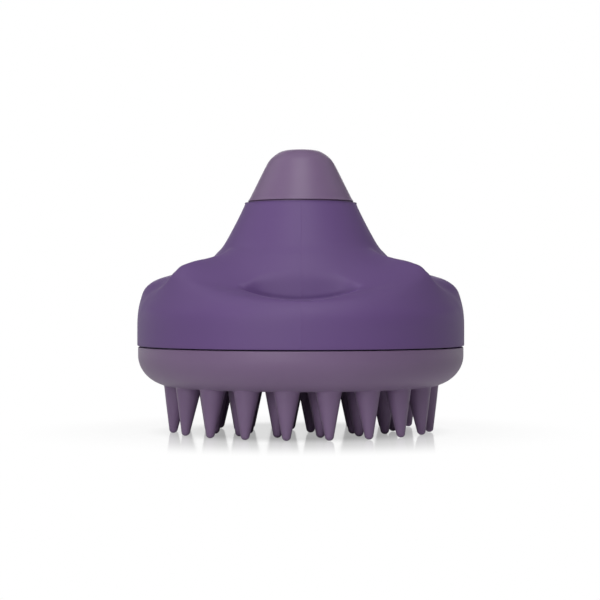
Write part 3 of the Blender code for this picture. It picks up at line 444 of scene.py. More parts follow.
def make_purple_plastic():
    """Matte soft-touch moulding: a very fine grain, slow colour drift and a soft sheen at grazing angles."""
    nodes = Surface("purple_soft_touch")
    nodes.tint(nodes.noise(28.0, 2.0), PURPLE, 0.97, 1.03)
    grain = nodes.noise(0.16, 3.0, 0.6)
    nodes.link(nodes.between(grain, 0.54, 0.62), nodes.shader.inputs["Roughness"])
    swell = nodes.bump(nodes.noise(1.6, 2.0), 0.004, 0.5)
    nodes.link(nodes.bump(grain, 0.012, 0.35, swell), nodes.shader.inputs["Normal"])
    nodes.set(Specular_IOR_Level=0.42, Sheen_Weight=0.06, Sheen_Roughness=0.45)
    nodes.shader.inputs["Sheen Tint"].default_value = (0.80, 0.74, 0.92, 1.0)
    return nodes.material


def make_mauve_silicone():
    """Satin silicone rubber: light goes a little way in, and the surface has a fine powdery grain."""
    nodes = Surface("mauve_silicone")
    nodes.tint(nodes.noise(14.0, 3.0), MAUVE, 0.97, 1.03)
    grain = nodes.noise(0.12, 2.0, 0.6)
    nodes.link(nodes.between(grain, 0.40, 0.50), nodes.shader.inputs["Roughness"])
    swell = nodes.bump(nodes.noise(0.9, 2.0), 0.004, 0.5)
    nodes.link(nodes.bump(grain, 0.010, 0.4, swell), nodes.shader.inputs["Normal"])
    nodes.set(Subsurface_Weight=0.12, Subsurface_Scale=0.0015, Specular_IOR_Level=0.40, Sheen_Weight=0.08,
              Sheen_Roughness=0.5)
    nodes.shader.inputs["Subsurface Radius"].default_value = (1.0, 0.55, 0.9)
    return nodes.material


def make_moulded_plastic(name, colour, roughness=0.45):
    """Plain engineering plastic with spark-eroded texture."""
    nodes = Surface(name)
    grain = nodes.noise(0.35, 3.0, 0.6)
    nodes.tint(nodes.noise(9.0), colour, 0.92, 1.08)
    nodes.link(nodes.between(grain, roughness - 0.06, roughness + 0.06), nodes.shader.inputs["Roughness"])
    nodes.link(nodes.bump(grain, 0.02, 0.5), nodes.shader.inputs["Normal"])
    return nodes.material


def make_metal(name, colour, roughness, stretch):
    """Turned or drawn metal with fine tool marks along one direction."""
    nodes = Surface(name)
    marks = nodes.noise(0.25, 4.0, 0.7, stretch)
    nodes.tint(nodes.noise(6.0, 3.0), colour, 0.88, 1.05)
    nodes.link(nodes.between(marks, roughness * 0.75, roughness * 1.3), nodes.shader.inputs["Roughness"])
    nodes.link(nodes.bump(marks, 0.006, 0.5), nodes.shader.inputs["Normal"])
    nodes.set(Metallic=1.0)
    return nodes.material


def make_board():
    """Green solder mask over copper traces, drawn by a fine brick pattern."""
    nodes = Surface("board_green")
    bricks = nodes.add("ShaderNodeTexBrick", offset=0.5)
    bricks.inputs["Scale"].default_value = 1.0
    bricks.inputs["Brick Width"].default_value = 0.0052
    bricks.inputs["Row Height"].default_value = 0.0019
    bricks.inputs["Mortar Size"].default_value = 0.00022
    bricks.inputs["Color1"].default_value = (0.012, 0.110, 0.035, 1.0)
    bricks.inputs["Color2"].default_value = (0.015, 0.125, 0.040, 1.0)
    bricks.inputs["Mortar"].default_value = (0.040, 0.230, 0.080, 1.0)
    nodes.link(nodes.place, bricks.inputs["Vector"])
    nodes.link(bricks.outputs["Color"], nodes.shader.inputs["Base Color"])
    nodes.link(nodes.bump(bricks.outputs["Fac"], 0.03, 0.6), nodes.shader.inputs["Normal"])
    nodes.set(Roughness=0.32, Coat_Weight=0.3)
    return nodes.material


def make_battery_wrap(name, positive_sign):
    """Dark shrink wrap with a copper-coloured band at the positive end and bare metal at both ends."""
    nodes = Surface(name)
    split = nodes.add("ShaderNodeSeparateXYZ")
    nodes.link(nodes.place, split.inputs["Vector"])
    along = nodes.add("ShaderNodeMapRange")
    along.inputs["From Min"].default_value = -0.0236 * positive_sign
    along.inputs["From Max"].default_value = 0.0236 * positive_sign
    nodes.link(split.outputs["X"], along.inputs["Value"])
    wrap = (0.020, 0.022, 0.026)
    copper = (0.520, 0.230, 0.090)
    steel = (0.620, 0.610, 0.590)
    ramp = nodes.colours(along.outputs["Result"],
                         ((0.0, steel), (0.066, wrap), (0.72, copper), (0.968, steel)))
    nodes.tree.nodes["Color Ramp"].color_ramp.interpolation = "CONSTANT"
    nodes.link(ramp, nodes.shader.inputs["Base Color"])
    nodes.link(nodes.between(nodes.noise(0.6, 3.0), 0.24, 0.34), nodes.shader.inputs["Roughness"])
    nodes.set(Metallic=0.35, Coat_Weight=0.2)
    return nodes.material


def make_wire(name, colour):
    nodes = Surface(name)
    nodes.tint(nodes.noise(2.5), colour, 0.85, 1.1)
    nodes.link(nodes.bump(nodes.noise(0.5), 0.01, 0.4), nodes.shader.inputs["Normal"])
    nodes.set(Roughness=0.38)
    return nodes.material


# ---- casing shell

def fine_curve(points):
    return curve_through([Vector(point) for point in points], ROW_STEPS)


FINE_PROFILES = {name: fine_curve(points) for name, points in PROFILES.items()}
FINE_RIDGE = [point.x for point in fine_curve([(azimuth, 0.0) for azimuth in RIDGE_AZIMUTHS])]


def body_point(row, from_front):
    """The surface before the finger dent: flare, bulge, ridge, valley and side lobe, by azimuth."""
    flare, bulge, valley, side = (FINE_PROFILES[name][row] for name in ("flare", "bulge", "valley", "side"))
    ridge = FINE_RIDGE[row]
    bottom = ridge + VALLEY_OFFSET
    if from_front < ridge:
        return flare.lerp(bulge, (from_front / ridge) ** BULGE_SPREAD)
    if from_front < bottom:
        return bulge.lerp(valley, math.sin(0.5 * math.pi * (from_front - ridge) / VALLEY_OFFSET))
    return valley.lerp(side, smooth_between(from_front, bottom, 90.0))


def dent_wall(height, angle):
    """Radius of the dent's steep back wall, which curves round towards the ends of the dent in plan."""
    depth = DENT_WALL_TOP[0] + DENT_WALL_SLOPE * (DENT_WALL_TOP[1] - height)
    radius = depth
    for _ in range(DENT_WALL_ROUNDS):
        across = radius * math.sin(angle)
        radius = (depth - DENT_WALL_BOW * across ** 2 + DENT_WALL_RETURN * across ** 4) / math.cos(angle)
        if radius > PAD_RADIUS:
            return 2.0 * PAD_RADIUS
    return radius


def dent_ledge(radius, angle):
    """Height of the dent's ledge, lowest in the middle and climbing gently outwards."""
    across = radius * math.sin(angle)
    outwards = radius * math.cos(angle) - DENT_WALL_TOP[0]
    return DENT_LEDGE_HEIGHT + DENT_LEDGE_BEND * across ** 2 + DENT_LEDGE_RISE * outwards


def dent_depth(point, angle):
    """Above zero where a point lies in the dent, over the ledge and outside the wall."""
    return min(point.y - dent_ledge(point.x, angle), point.x - dent_wall(point.y, angle))


def plain_path(rows, angle):
    """The profile beside the dent, and the place on it that is nearest to the dent's end, three times."""
    end_depths = [dent_depth(point, min(angle, DENT_END)) for point in rows]
    nearest = max(range(DENT_FIRST_ROW + 1, DENT_LAST_ROW), key=lambda i: end_depths[i])
    length = path_length(rows[DENT_FIRST_ROW:nearest + 1])
    return rows[DENT_FIRST_ROW:DENT_LAST_ROW + 1], (length, length, length)


def dent_corner(angle):
    """Where the dent's ledge and wall meet."""
    corner = Vector((dent_wall(DENT_LEDGE_HEIGHT, angle), DENT_LEDGE_HEIGHT))
    for _ in range(DENT_CORNER_ROUNDS):
        corner.y = dent_ledge(corner.x, angle)
        corner.x = dent_wall(corner.y, angle)
    return corner


def dent_path(rows, angle):
    """The profile through the dent, and how far along it the dent's lip, corner and brow are."""
    depths = [dent_depth(point, angle) for point in rows]
    inside = [i for i in range(DENT_FIRST_ROW, DENT_LAST_ROW) if depths[i] > 0.0]
    if not inside:
        return plain_path(rows, angle)
    # Where the plain surface goes into the dent, and where it comes out again
    first, last = inside[0], inside[-1]
    start = rows[first - 1].lerp(rows[first], depths[first - 1] / (depths[first - 1] - depths[first]))
    end = rows[last].lerp(rows[last + 1], depths[last] / (depths[last] - depths[last + 1]))
    # The undercut sets the foot of the wall back
    corner = dent_corner(angle)
    wall = max(SHORTEST_WALL, (end - corner).length)
    over_cut = corner.lerp(end, min(DENT_UNDERCUT_SHARE, DENT_UNDERCUT_HEIGHT / wall))
    foot = corner - Vector((DENT_UNDERCUT * min(1.0, wall / DENT_UNDERCUT_REACH) ** 2, 0.0))
    # The brow is rounded over from the wall to the plain surface
    upper_wall = (end - over_cut).length
    reach = min(DENT_BROW_ROUNDING, DENT_BROW_SHARE * upper_wall)
    wall_end = end.lerp(over_cut, reach / max(SHORTEST_WALL, upper_wall))
    after = rows[last + 1:DENT_LAST_ROW + 1]
    surface = points_along([end] + after, [reach])[0]
    while len(after) > 1 and after[0].x > surface.x:
        after.pop(0)
    steps = [i / DENT_BROW_STEPS for i in range(DENT_BROW_STEPS + 1)]
    brow = [wall_end.lerp(end, t).lerp(end.lerp(surface, t), t) for t in steps]
    before = rows[DENT_FIRST_ROW:first] + [start]
    at_lip = path_length(before)
    at_foot = at_lip + (foot - start).length
    at_brow = at_foot + path_length([foot, over_cut] + brow[:DENT_BROW_STEPS // 2 + 1])
    return before + [foot, over_cut] + brow + after, (at_lip, at_foot, at_brow)


def path_length(path):
    return sum((after - before).length for before, after in zip(path, path[1:]))


def points_along(path, distances):
    """Points of a path at rising distances along it."""
    points = []
    index = 0
    passed = 0.0
    for distance in distances:
        while index < len(path) - 2 and passed + (path[index + 1] - path[index]).length < distance:
            passed += (path[index + 1] - path[index]).length
            index += 1
        length = max(SHORTEST_STEP, (path[index + 1] - path[index]).length)
        points.append(path[index].lerp(path[index + 1], min(1.0, (distance - passed) / length)))
    return points


def cut_dent(rows, angle):
    """Lay the rows over the dent in fixed shares: skirt, ledge, wall, brow. Its corner is always one row."""
    fade = 1.0 - smooth_between(angle, DENT_END, DENT_ROWS_PLAIN)
    if fade == 0.0:
        return rows
    path, (lip, corner, brow) = dent_path(rows, angle)
    total = path_length(path)
    below, ledge, wall = DENT_ROW_SHARES
    above = DENT_LAST_ROW - DENT_FIRST_ROW - below - ledge - wall
    lip = min(lip, corner - ledge * DENT_LEAST_STEP)
    brow = max(brow, corner + wall * DENT_LEAST_STEP)
    stretches = ((0.0, lip, below), (lip, corner, ledge), (corner, brow, wall), (brow, total, above))
    distances = []
    for start, end, count in stretches:
        distances += [start + (end - start) * i / count for i in range(count)]
    distances.append(total)
    if fade < 1.0:
        plain_rows = rows[DENT_FIRST_ROW:DENT_LAST_ROW + 1]
        scale = total / path_length(plain_rows)
        plain = [path_length(plain_rows[:i + 1]) * scale for i in range(len(plain_rows))]
        distances = [before + (after - before) * fade for before, after in zip(plain, distances)]
    return rows[:DENT_FIRST_ROW] + points_along(path, distances) + rows[DENT_LAST_ROW + 1:]


def degrees_from_front(azimuth):
    """Angle from the front or the back, whichever is nearer: the casing is the same at both."""
    return abs((azimuth + 90.0) % 180.0 - 90.0)


def column_azimuths():
    """Even columns, with a few more close to the parting lines at the front and back."""
    azimuths = {round(360.0 * i / SHELL_COLUMNS, 4) for i in range(SHELL_COLUMNS)}
    for line in (0.0, 180.0):
        for k in range(-3, 4):
            azimuths.add(round((line + PARTING_LINE_WIDTH * k / 2.0) % 360.0, 4))
    return sorted(azimuths)


def shell_grid(azimuths):
    """Rows of (radius, height) for every azimuth, with the moulded edges softened a little."""
    grid = []
    for azimuth in azimuths:
        from_front = degrees_from_front(azimuth)
        rows = [body_point(row, from_front) for row in range(len(FINE_RIDGE))]
        grid.append(cut_dent(rows, math.radians(from_front)))
    last_soft = (len(PROFILES["flare"]) - UNSOFTENED_ROWS) * ROW_STEPS
    for _ in range(EDGE_SOFTENING):
        previous = grid
        grid = []
        for i, rows in enumerate(previous):
            left, right = previous[i - 1], previous[(i + 1) % len(previous)]
            soft = rows[:]
            for k in range(1, last_soft):
                soft[k] = 0.25 * (2.0 * rows[k] + 0.5 * (rows[k - 1] + rows[k + 1] + left[k] + right[k]))
            grid.append(soft)
    return grid


def shell_lining(rows):
    """The inside of the shell, one wall thickness in, then the pocket and bore of the neck."""
    inner = []
    for i in range(0, CONE_ROW * ROW_STEPS + 1, 2):
        along = rows[i + 2] - rows[max(i - 2, 0)]
        inner.append(rows[i] + SHELL_WALL * Vector((-along.y, along.x)).normalized())
    inner[0].y = rows[0].y
    neck = ((NECK_POCKET, NECK_POCKET_BOTTOM), (NECK_POCKET, NECK_SHOULDER), (NECK_BORE, NECK_SHOULDER),
            (NECK_BORE, NECK_TOP - EDGE_ROUNDING * 0.6))
    return inner + [Vector(point) for point in neck]


def make_body_shell(material):
    builder = bmesh.new()
    azimuths = column_azimuths()
    columns = []
    for azimuth, rows in zip(azimuths, shell_grid(azimuths)):
        angle = math.radians(azimuth)
        from_front = degrees_from_front(azimuth)
        ridge = PARTING_LINE_HEIGHT * math.exp(-(from_front / PARTING_LINE_WIDTH) ** 2)
        outer = [Vector((point.x + ridge, point.y)) for point in rows]
        foot = rows[0]
        outer[0] = Vector((foot.x - EDGE_ROUNDING, foot.y))
        outer.insert(1, Vector((foot.x - EDGE_ROUNDING * 0.3, foot.y + EDGE_ROUNDING * 0.3)))
        outer.insert(2, Vector((foot.x, foot.y + EDGE_ROUNDING)))
        outline = outer + shell_lining(rows)[::-1]
        columns.append([builder.verts.new((p.x * math.sin(angle), -p.x * math.cos(angle), p.y))
                        for p in outline])
    skin_rings(builder, columns, closed=True)
    return finish_piece("body_shell", builder, "casing", material, ("body_shell",))


def thread_bars(name, section, bottom, body, material):
    """Helical bars that climb anticlockwise, one for each start; the section is (radius, height) points."""
    for number in range(THREAD_STARTS):
        start = THREAD_FIRST + 360.0 * number / THREAD_STARTS
        builder = bmesh.new()
        rings = []
        for i in range(THREAD_STEPS + 1):
            turn = THREAD_ARC * i / THREAD_STEPS
            angle = math.radians(start + turn)
            climb = bottom + THREAD_LEAD * turn / 360.0
            rings.append([builder.verts.new((r * math.cos(angle), r * math.sin(angle), climb + height))
                          for r, height in section])
        skin_rings(builder, rings, closed=False)
        builder.faces.new(rings[0])
        builder.faces.new(rings[-1])
        finish_piece("%s_%d" % (name, number + 1), builder, body, material)


# ---- bristle pad

def pad_surface(radius):
    """Height of the pad's outer surface at a radius: flat in the middle, an elliptic corner outside."""
    along = max(0.0, radius - (PAD_RADIUS - PAD_CORNER_WIDTH)) / PAD_CORNER_WIDTH
    return PAD_BOTTOM + PAD_CORNER_HEIGHT * (1.0 - math.sqrt(max(0.0, 1.0 - along * along)))


def bristle_places():
    """(outward direction, root radius, tip radius) of every bristle."""
    places = []
    for count, root_radius, tip_radius, first in BRISTLE_RINGS:
        for i in range(count):
            azimuth = math.radians(first + 360.0 * i / count)
            places.append((Vector((math.sin(azimuth), -math.cos(azimuth))), root_radius, tip_radius))
    return places


def bristle_rows():
    """(radius, depth below the pad surface) down a bristle: fillet, cone, rounded tip."""
    rows = []
    for i in range(BRISTLE_ROUND_STEPS + 1):
        angle = 0.5 * math.pi * i / BRISTLE_ROUND_STEPS
        rows.append((BRISTLE_ROOT_RADIUS + BRISTLE_FILLET * (1.0 - math.sin(angle)),
                     BRISTLE_FILLET * (1.0 - math.cos(angle))))
    cone_end = PAD_BOTTOM - BRISTLE_TIP_RADIUS
    for i in range(1, BRISTLE_CONE_STEPS + 1):
        t = i / BRISTLE_CONE_STEPS
        rows.append((BRISTLE_ROOT_RADIUS + (BRISTLE_TIP_RADIUS - BRISTLE_ROOT_RADIUS) * t,
                     BRISTLE_FILLET + (cone_end - BRISTLE_FILLET) * t))
    for i in range(1, BRISTLE_ROUND_STEPS):
        angle = 0.5 * math.pi * i / BRISTLE_ROUND_STEPS
        rows.append((BRISTLE_TIP_RADIUS * math.cos(angle), cone_end + BRISTLE_TIP_RADIUS * math.sin(angle)))
    return rows


def pad_field_points(places):
    """Points on the pad's underside between the bristles, on rings that close up over the curved corner."""
    clear = BRISTLE_ROOT_RADIUS + BRISTLE_FILLET + PAD_FIELD_CLEARANCE
    points = []
    radius = PAD_FIELD_RADIUS
    while radius > 1.0:
        curved = radius > PAD_RADIUS - PAD_CORNER_WIDTH
        spacing = PAD_FIELD_CORNER_SPACING if curved else PAD_FIELD_SPACING
        count = round(2.0 * math.pi * radius / (spacing * PAD_FIELD_STRETCH))
        if radius == PAD_FIELD_RADIUS:
            count = PAD_COLUMNS
        for i in range(count):
            angle = 2.0 * math.pi * i / count
            point = Vector((radius * math.cos(angle), radius * math.sin(angle)))
            if all((point - outward * root).length > clear for outward, root, _ in places):
                points.append(point)
        radius -= spacing
    return points


def around(centre, radius, steps):
    """Plan points of a ring about a centre."""
    angles = [2.0 * math.pi * k / steps for k in range(steps)]
    return [centre + radius * Vector((math.cos(angle), math.sin(angle))) for angle in angles]


def add_pad_field(builder, places, hole_radius):
    """The triangulated underside, with a hole at every bristle; gives each hole's rim and the outer rim."""
    points = pad_field_points(places)
    rims = []
    edges = []
    for outward, root, _ in places:
        first = len(points)
        points += around(outward * root, hole_radius, BRISTLE_COLUMNS)
        rims.append(range(first, first + BRISTLE_COLUMNS))
        edges += [(first + k, first + (k + 1) % BRISTLE_COLUMNS) for k in range(BRISTLE_COLUMNS)]
    flat, _, faces, *_ = delaunay_2d_cdt(points, edges, [], 0, 1e-5)
    vertices = [builder.verts.new((p.x, p.y, pad_surface(p.length))) for p in flat]
    clear = hole_radius * BRISTLE_HOLE_MARGIN
    for face in faces:
        middle = sum((flat[i] for i in face), Vector((0.0, 0.0))) / len(face)
        if all((middle - outward * root).length > clear for outward, root, _ in places):
            builder.faces.new([vertices[i] for i in face])
    outer = [v for v, p in zip(vertices, flat) if abs(p.length - PAD_FIELD_RADIUS) < 1e-3]
    outer.sort(key=lambda v: math.atan2(v.co.y, v.co.x) % (2.0 * math.pi))
    return [[vertices[i] for i in rim] for rim in rims], outer


def add_bristle(builder, rim, place, rows):
    """One bristle down from its rim in the pad: its rows follow the pad's curve first, then turn level."""
    outward, root, tip = place
    lean = (root - tip) / PAD_BOTTOM
    rings = [rim]
    for radius, depth in rows[1:]:
        settle = smooth_between(depth, 0.0, BRISTLE_SETTLING)
        ring = []
        for point in around(outward * (root - lean * depth), radius, BRISTLE_COLUMNS):
            surface = pad_surface(point.length)
            height = (1.0 - settle) * (surface - depth) + settle * (PAD_BOTTOM - depth)
            ring.append(builder.verts.new((point.x, point.y, height)))
        rings.append(ring)
    end = outward * tip
    rings.append([builder.verts.new((end.x, end.y, 0.0))])
    skin_rings(builder, rings, closed=False)


def make_bristle_pad(material):
    """One moulding: the underside with its bristles, and the turned wall, rim and inside."""
    builder = bmesh.new()
    places = bristle_places()
    rows = bristle_rows()
    rims, outer = add_pad_field(builder, places, rows[0][0])
    for rim, place in zip(rims, places):
        add_bristle(builder, rim, place, rows)
    wall = [level_ring(builder, radius, height, PAD_COLUMNS) for radius, height in pad_wall_profile()]
    skin_rings(builder, [outer] + wall, closed=False)
    return finish_piece("bristle_pad", builder, "head", material, ("bristle_pad",))


def pad_wall_profile():
    """From the edge of the underside out and up the corner, over the top edge, and down the inside."""
    profile = []
    start = math.asin((PAD_FIELD_RADIUS - PAD_RADIUS + PAD_CORNER_WIDTH) / PAD_CORNER_WIDTH)
    for i in range(1, PAD_CORNER_STEPS + 1):
        angle = start + (0.5 * math.pi - start) * i / PAD_CORNER_STEPS
        radius = PAD_RADIUS - PAD_CORNER_WIDTH * (1.0 - math.sin(angle))
        profile.append((radius, PAD_BOTTOM + PAD_CORNER_HEIGHT * (1.0 - math.cos(angle))))
    inner_radius = PAD_RADIUS - PAD_WALL
    rim = (profile[-1], (PAD_RADIUS, PAD_TOP), (inner_radius, PAD_TOP), (inner_radius, PAD_RIM_FOOT))
    profile += rounded(rim, PAD_RIM_ROUNDING, (1, 2))[1:]
    profile += PAD_RIM_SEAT
    for i in range(PAD_INSIDE_STEPS, -1, -1):
        angle = 0.5 * math.pi * i / PAD_CORNER_STEPS
        profile.append((PAD_RADIUS - PAD_CORNER_WIDTH + (PAD_CORNER_WIDTH - PAD_WALL) * math.sin(angle),
                        PAD_BOTTOM + PAD_WALL + (PAD_CORNER_HEIGHT - PAD_WALL) * (1.0 - math.cos(angle))))
    profile.append((0.0, PAD_BOTTOM + PAD_WALL))
    return profile


# ---- head plate, seal, button, spring

def make_base_plate(material):
    """The plate that carries the pad, with a flange under the seal and the wall of the threaded collar."""
    bottom = PLATE_LOW[2]
    flange = PLATE_HIGH[0]
    top = PLATE_HIGH[2]
    profile = rounded([
        (0.0, bottom), (34.9, bottom), (38.5, 16.0), (38.8, 16.7), (COLLAR_RADIUS, 16.7),
        (COLLAR_RADIUS, 20.6), (flange, 20.6), (flange, 22.0), (COLLAR_RADIUS, 22.0), (COLLAR_RADIUS, top),
        (35.3, top), (35.3, 16.3), (0.0, 16.3),
    ], PLATE_EDGE_ROUNDING, (2, 6, 7, 9, 10, 11))
    plate = turned(profile, TURNED_STEPS)
    finish_piece("base_plate", plate, "head", material, ("base_plate",))


def make_collar_lugs(material):
    inner = COLLAR_RADIUS - LUG_INSET
    section = (
        (inner, 0.0), (LUG_OUTER_RADIUS - LUG_CHAMFER, 0.0), (LUG_OUTER_RADIUS, LUG_CHAMFER),
        (LUG_OUTER_RADIUS, THREAD_HEIGHT - LUG_CHAMFER), (LUG_OUTER_RADIUS - LUG_CHAMFER, THREAD_HEIGHT),
        (inner, THREAD_HEIGHT),
    )
    bottom = RIDGE_BOTTOM + THREAD_HEIGHT + GAP
    thread_bars("collar_lug", section, bottom, "head", material)


def make_thread_ridges(material):
    inner = COLLAR_RADIUS + GAP
    section = ((RIDGE_OUTER_RADIUS, 0.0), (inner, RIDGE_CHAMFER), (inner, THREAD_HEIGHT - RIDGE_CHAMFER),
               (RIDGE_OUTER_RADIUS, THREAD_HEIGHT))
    thread_bars("shell_ridge", section, RIDGE_BOTTOM, "casing", material)


def make_screw_bosses(material):
    """Bosses that hang from the shell's sloping roof, each with a blind hole for a chassis screw."""
    corners = ((1, 1), (-1, 1), (-1, -1), (1, -1))
    for number, (sign_x, sign_y) in enumerate(corners, start=1):
        y = sign_y * BOSS_Y
        outline = (
            (0.0, BOSS_TOP), (BOSS_RADIUS, BOSS_TOP), (BOSS_RADIUS, BOSS_BOTTOM),
            (BOSS_HOLE_RADIUS, BOSS_BOTTOM), (BOSS_HOLE_RADIUS, BOSS_HOLE_TOP), (0.0, BOSS_HOLE_TOP),
        )
        profile = rounded(outline, BOSS_EDGE_ROUNDING, (2, 3))
        builder = turned(profile, BOSS_COLUMNS, (sign_x * BOSS_X, y, 0.0))
        for vertex in builder.verts:
            if vertex.co.z > BOSS_TOP - BOSS_SLOPED:
                vertex.co.z += BOSS_SLOPE * (abs(y) - abs(vertex.co.y))
        finish_piece("shell_boss_%d" % number, builder, "casing", material)


def make_seal_ring(material):
    section = []
    for k in range(SEAL_SECTION_STEPS):
        angle = 2.0 * math.pi * k / SEAL_SECTION_STEPS
        section.append((SEAL_RADIUS + SEAL_SECTION_RADIUS * math.cos(angle),
                        SEAL_HEIGHT + SEAL_SECTION_RADIUS * math.sin(angle)))
    ring = turned(section, TURNED_STEPS)
    finish_piece("seal_ring", ring, "seal", material, ("seal_ring",))


def make_button_cap(material):
    outside = [tuple(point) for point in curve_through(CAP_OUTSIDE, CAP_CURVE_STEPS)]
    cap = turned(outside + list(CAP_FOOT_AND_INSIDE), TURNED_STEPS)
    finish_piece("button_cap", cap, "button", material, ("button_cap",), CAP_SHARP_DEGREES)


def make_return_spring(material):
    """Round wire wound in a coil, built at one length; the real spring shortens as the button goes down."""
    up = Vector((0.0, 0.0, 1.0))
    steps = SPRING_TURNS * SPRING_STEPS
    builder = bmesh.new()
    rings = []
    for i in range(steps + 1):
        angle = 2.0 * math.pi * SPRING_TURNS * i / steps
        out = Vector((math.cos(angle), math.sin(angle), 0.0))
        centre = SPRING_RADIUS * out + up * (SPRING_BOTTOM + (SPRING_TOP - SPRING_BOTTOM) * i / steps)
        ring = []
        for k in range(SPRING_WIRE_STEPS):
            around = 2.0 * math.pi * k / SPRING_WIRE_STEPS
            offset = math.cos(around) * out + math.sin(around) * up
            ring.append(builder.verts.new(centre + SPRING_WIRE_RADIUS * offset))
        rings.append(ring)
    skin_rings(builder, rings, closed=False)
    builder.faces.new(rings[0])
    builder.faces.new(rings[-1])
    piece = finish_piece("return_spring", builder, "casing", material, ("return_spring",))
    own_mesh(piece)


# ---- carried-over CAD pieces

def dress_cad_nodes(materials):
    """Give every CAD node that stays its own procedural material."""
    for subpart in frame["record"]["subparts"]:
        piece = frame["nodes"][subpart["node"]]
        if piece.hide_render:
            continue
        slot = subpart["material_slot"]
        piece.data.materials.clear()
        piece.data.materials.append(materials.get(subpart["node"], materials.get(slot)))


# ---- stage, lights and camera

# The white backdrop shows in reflections only, in a low band along the horizon
HORIZON_TOP = 0.30              # sines of the elevations between which the white band begins
HORIZON_FULL = 0.16
HORIZON_SPREAD = 0.5            # how far round from the side, as a sine, the band reaches full white
FLOOR_HALF_SIZE = 6.0           # metres, as are all distances below
FLOOR_HEIGHT = -0.00005
FLOOR_BOUNCE = 0.53             # light that the floor gives back
SHADOW_BOUNCE = 0.02            # the same, in the shade painted under the head
SHADOW_WHITE = 0.62             # how white the floor looks in that painted shadow
SHADOW_FROM = 0.024             # distances from the brush's axis over which the painted shade ends
SHADOW_TO = 0.043
FLOOR_GLOSS = 0.40
FLOOR_GLOSS_ROUGHNESS = 0.10
GLOSS_FROM = 0.036              # distances from the axis over which the gloss ends
GLOSS_TO = 0.080
LIGHTS_MIDDLE = (0.0, 0.0, 0.035)
# name, azimuth and elevation in degrees from the front, distance and side length in metres, power in watts
LIGHTS = (
    ("key_low", -20.0, 10.0, 0.60, 0.35, 1.05),
    ("key_high", -20.0, 32.0, 0.60, 0.35, 0.40),
    ("front_top", 0.0, 55.0, 0.60, 0.30, 1.05),
    ("top", 0.0, 78.0, 0.50, 0.30, 0.40),
    ("rim_left", -110.0, 45.0, 0.50, 0.30, 0.30),
    ("rim_right", 110.0, 45.0, 0.50, 0.30, 0.15),
    ("back", 180.0, 20.0, 0.60, 0.35, 0.60),
)


def white_reflection(nodes, gloss):
    """The glossy floor with what the white band leaves dark made up, so an empty floor is always white."""
    view = nodes.add("ShaderNodeNewGeometry").outputs["Incoming"]
    split = nodes.add("ShaderNodeSeparateXYZ")
    nodes.link(view, split.inputs[0])
    low = nodes.ramp(split.outputs["Z"], HORIZON_TOP, HORIZON_FULL)
    ahead = nodes.ramp(split.outputs["Y"], 0.0, -HORIZON_SPREAD)
    seen = nodes.maths("MULTIPLY", low, ahead)
    filling = nodes.add("ShaderNodeEmission")
    nodes.link(nodes.maths("SUBTRACT", 1.0, seen), filling.inputs["Strength"])
    total = nodes.add("ShaderNodeAddShader")
    nodes.link(gloss, total.inputs[0])
    nodes.link(filling.outputs[0], total.inputs[1])
    return total.outputs[0]


def make_floor_material():
    """White, glossy near the brush, with a shade painted under its head in what it shows and in the light it
    gives back; other rays than the camera's see it dimmer.
    """
    nodes = Surface("floor_white")
    away = nodes.add("ShaderNodeVectorMath", operation="LENGTH")
    nodes.link(nodes.place, away.inputs[0])
    distance = away.outputs["Value"]
    gloss = nodes.add("ShaderNodeBsdfGlossy")
    gloss.inputs["Roughness"].default_value = FLOOR_GLOSS_ROUGHNESS
    white = nodes.add("ShaderNodeEmission")
    bounce = nodes.add("ShaderNodeEmission")
    # The floor's emission is turned down under the head: a painted shadow for the camera, and painted shade
    # in the light it gives back
    for emission, shaded, full in ((bounce, SHADOW_BOUNCE, FLOOR_BOUNCE), (white, SHADOW_WHITE, 1.0)):
        lit = nodes.ramp(distance, SHADOW_FROM, SHADOW_TO, shaded, full)
        nodes.link(lit, emission.inputs["Strength"])
    amount = nodes.maths("MULTIPLY", nodes.ramp(distance, GLOSS_TO, GLOSS_FROM), FLOOR_GLOSS)
    seen = nodes.mixed(amount, white.outputs[0], white_reflection(nodes, gloss.outputs[0]))
    rays = nodes.add("ShaderNodeLightPath")
    surface = nodes.mixed(rays.outputs["Is Camera Ray"], bounce.outputs[0], seen)
    nodes.link(surface, nodes.tree.nodes["Material Output"].inputs["Surface"])
    return nodes.material


def make_floor():
    """A white table, a hair under the bristle tips."""
    mesh = bpy.data.meshes.new("floor")
    builder = bmesh.new()
    bmesh.ops.create_grid(builder, x_segments=1, y_segments=1, size=FLOOR_HALF_SIZE)
    builder.to_mesh(mesh)
    builder.free()
    mesh.materials.append(make_floor_material())
    floor = bpy.data.objects.new("floor", mesh)
    floor.location.z = FLOOR_HEIGHT
    bpy.context.scene.collection.objects.link(floor)


def make_world():
    """White to the camera; in reflections, only a white band along the horizon behind the brush."""
    world = bpy.data.worlds.new("studio")
    bpy.context.scene.world = world
    world.use_nodes = True
    world.node_tree.nodes.clear()
    nodes = Nodes(world.node_tree)
    rays = nodes.add("ShaderNodeLightPath")
    split = nodes.add("ShaderNodeSeparateXYZ")
    nodes.link(nodes.add("ShaderNodeTexCoord").outputs["Generated"], split.inputs[0])
    low = nodes.ramp(split.outputs["Z"], HORIZON_TOP, HORIZON_FULL)
    behind = nodes.ramp(split.outputs["Y"], 0.0, HORIZON_SPREAD)
    band = nodes.maths("MULTIPLY", low, behind)
    surround = nodes.add("ShaderNodeBackground")
    white = nodes.add("ShaderNodeBackground")
    for background in (surround, white):
        background.inputs["Color"].default_value = (1.0, 1.0, 1.0, 1.0)
    nodes.link(nodes.maths("MULTIPLY", band, rays.outputs["Is Glossy Ray"]), surround.inputs["Strength"])
    seen = nodes.mixed(rays.outputs["Is Camera Ray"], surround.outputs[0], white.outputs[0])
    output = nodes.add("ShaderNodeOutputWorld")
    nodes.link(seen, output.inputs["Surface"])


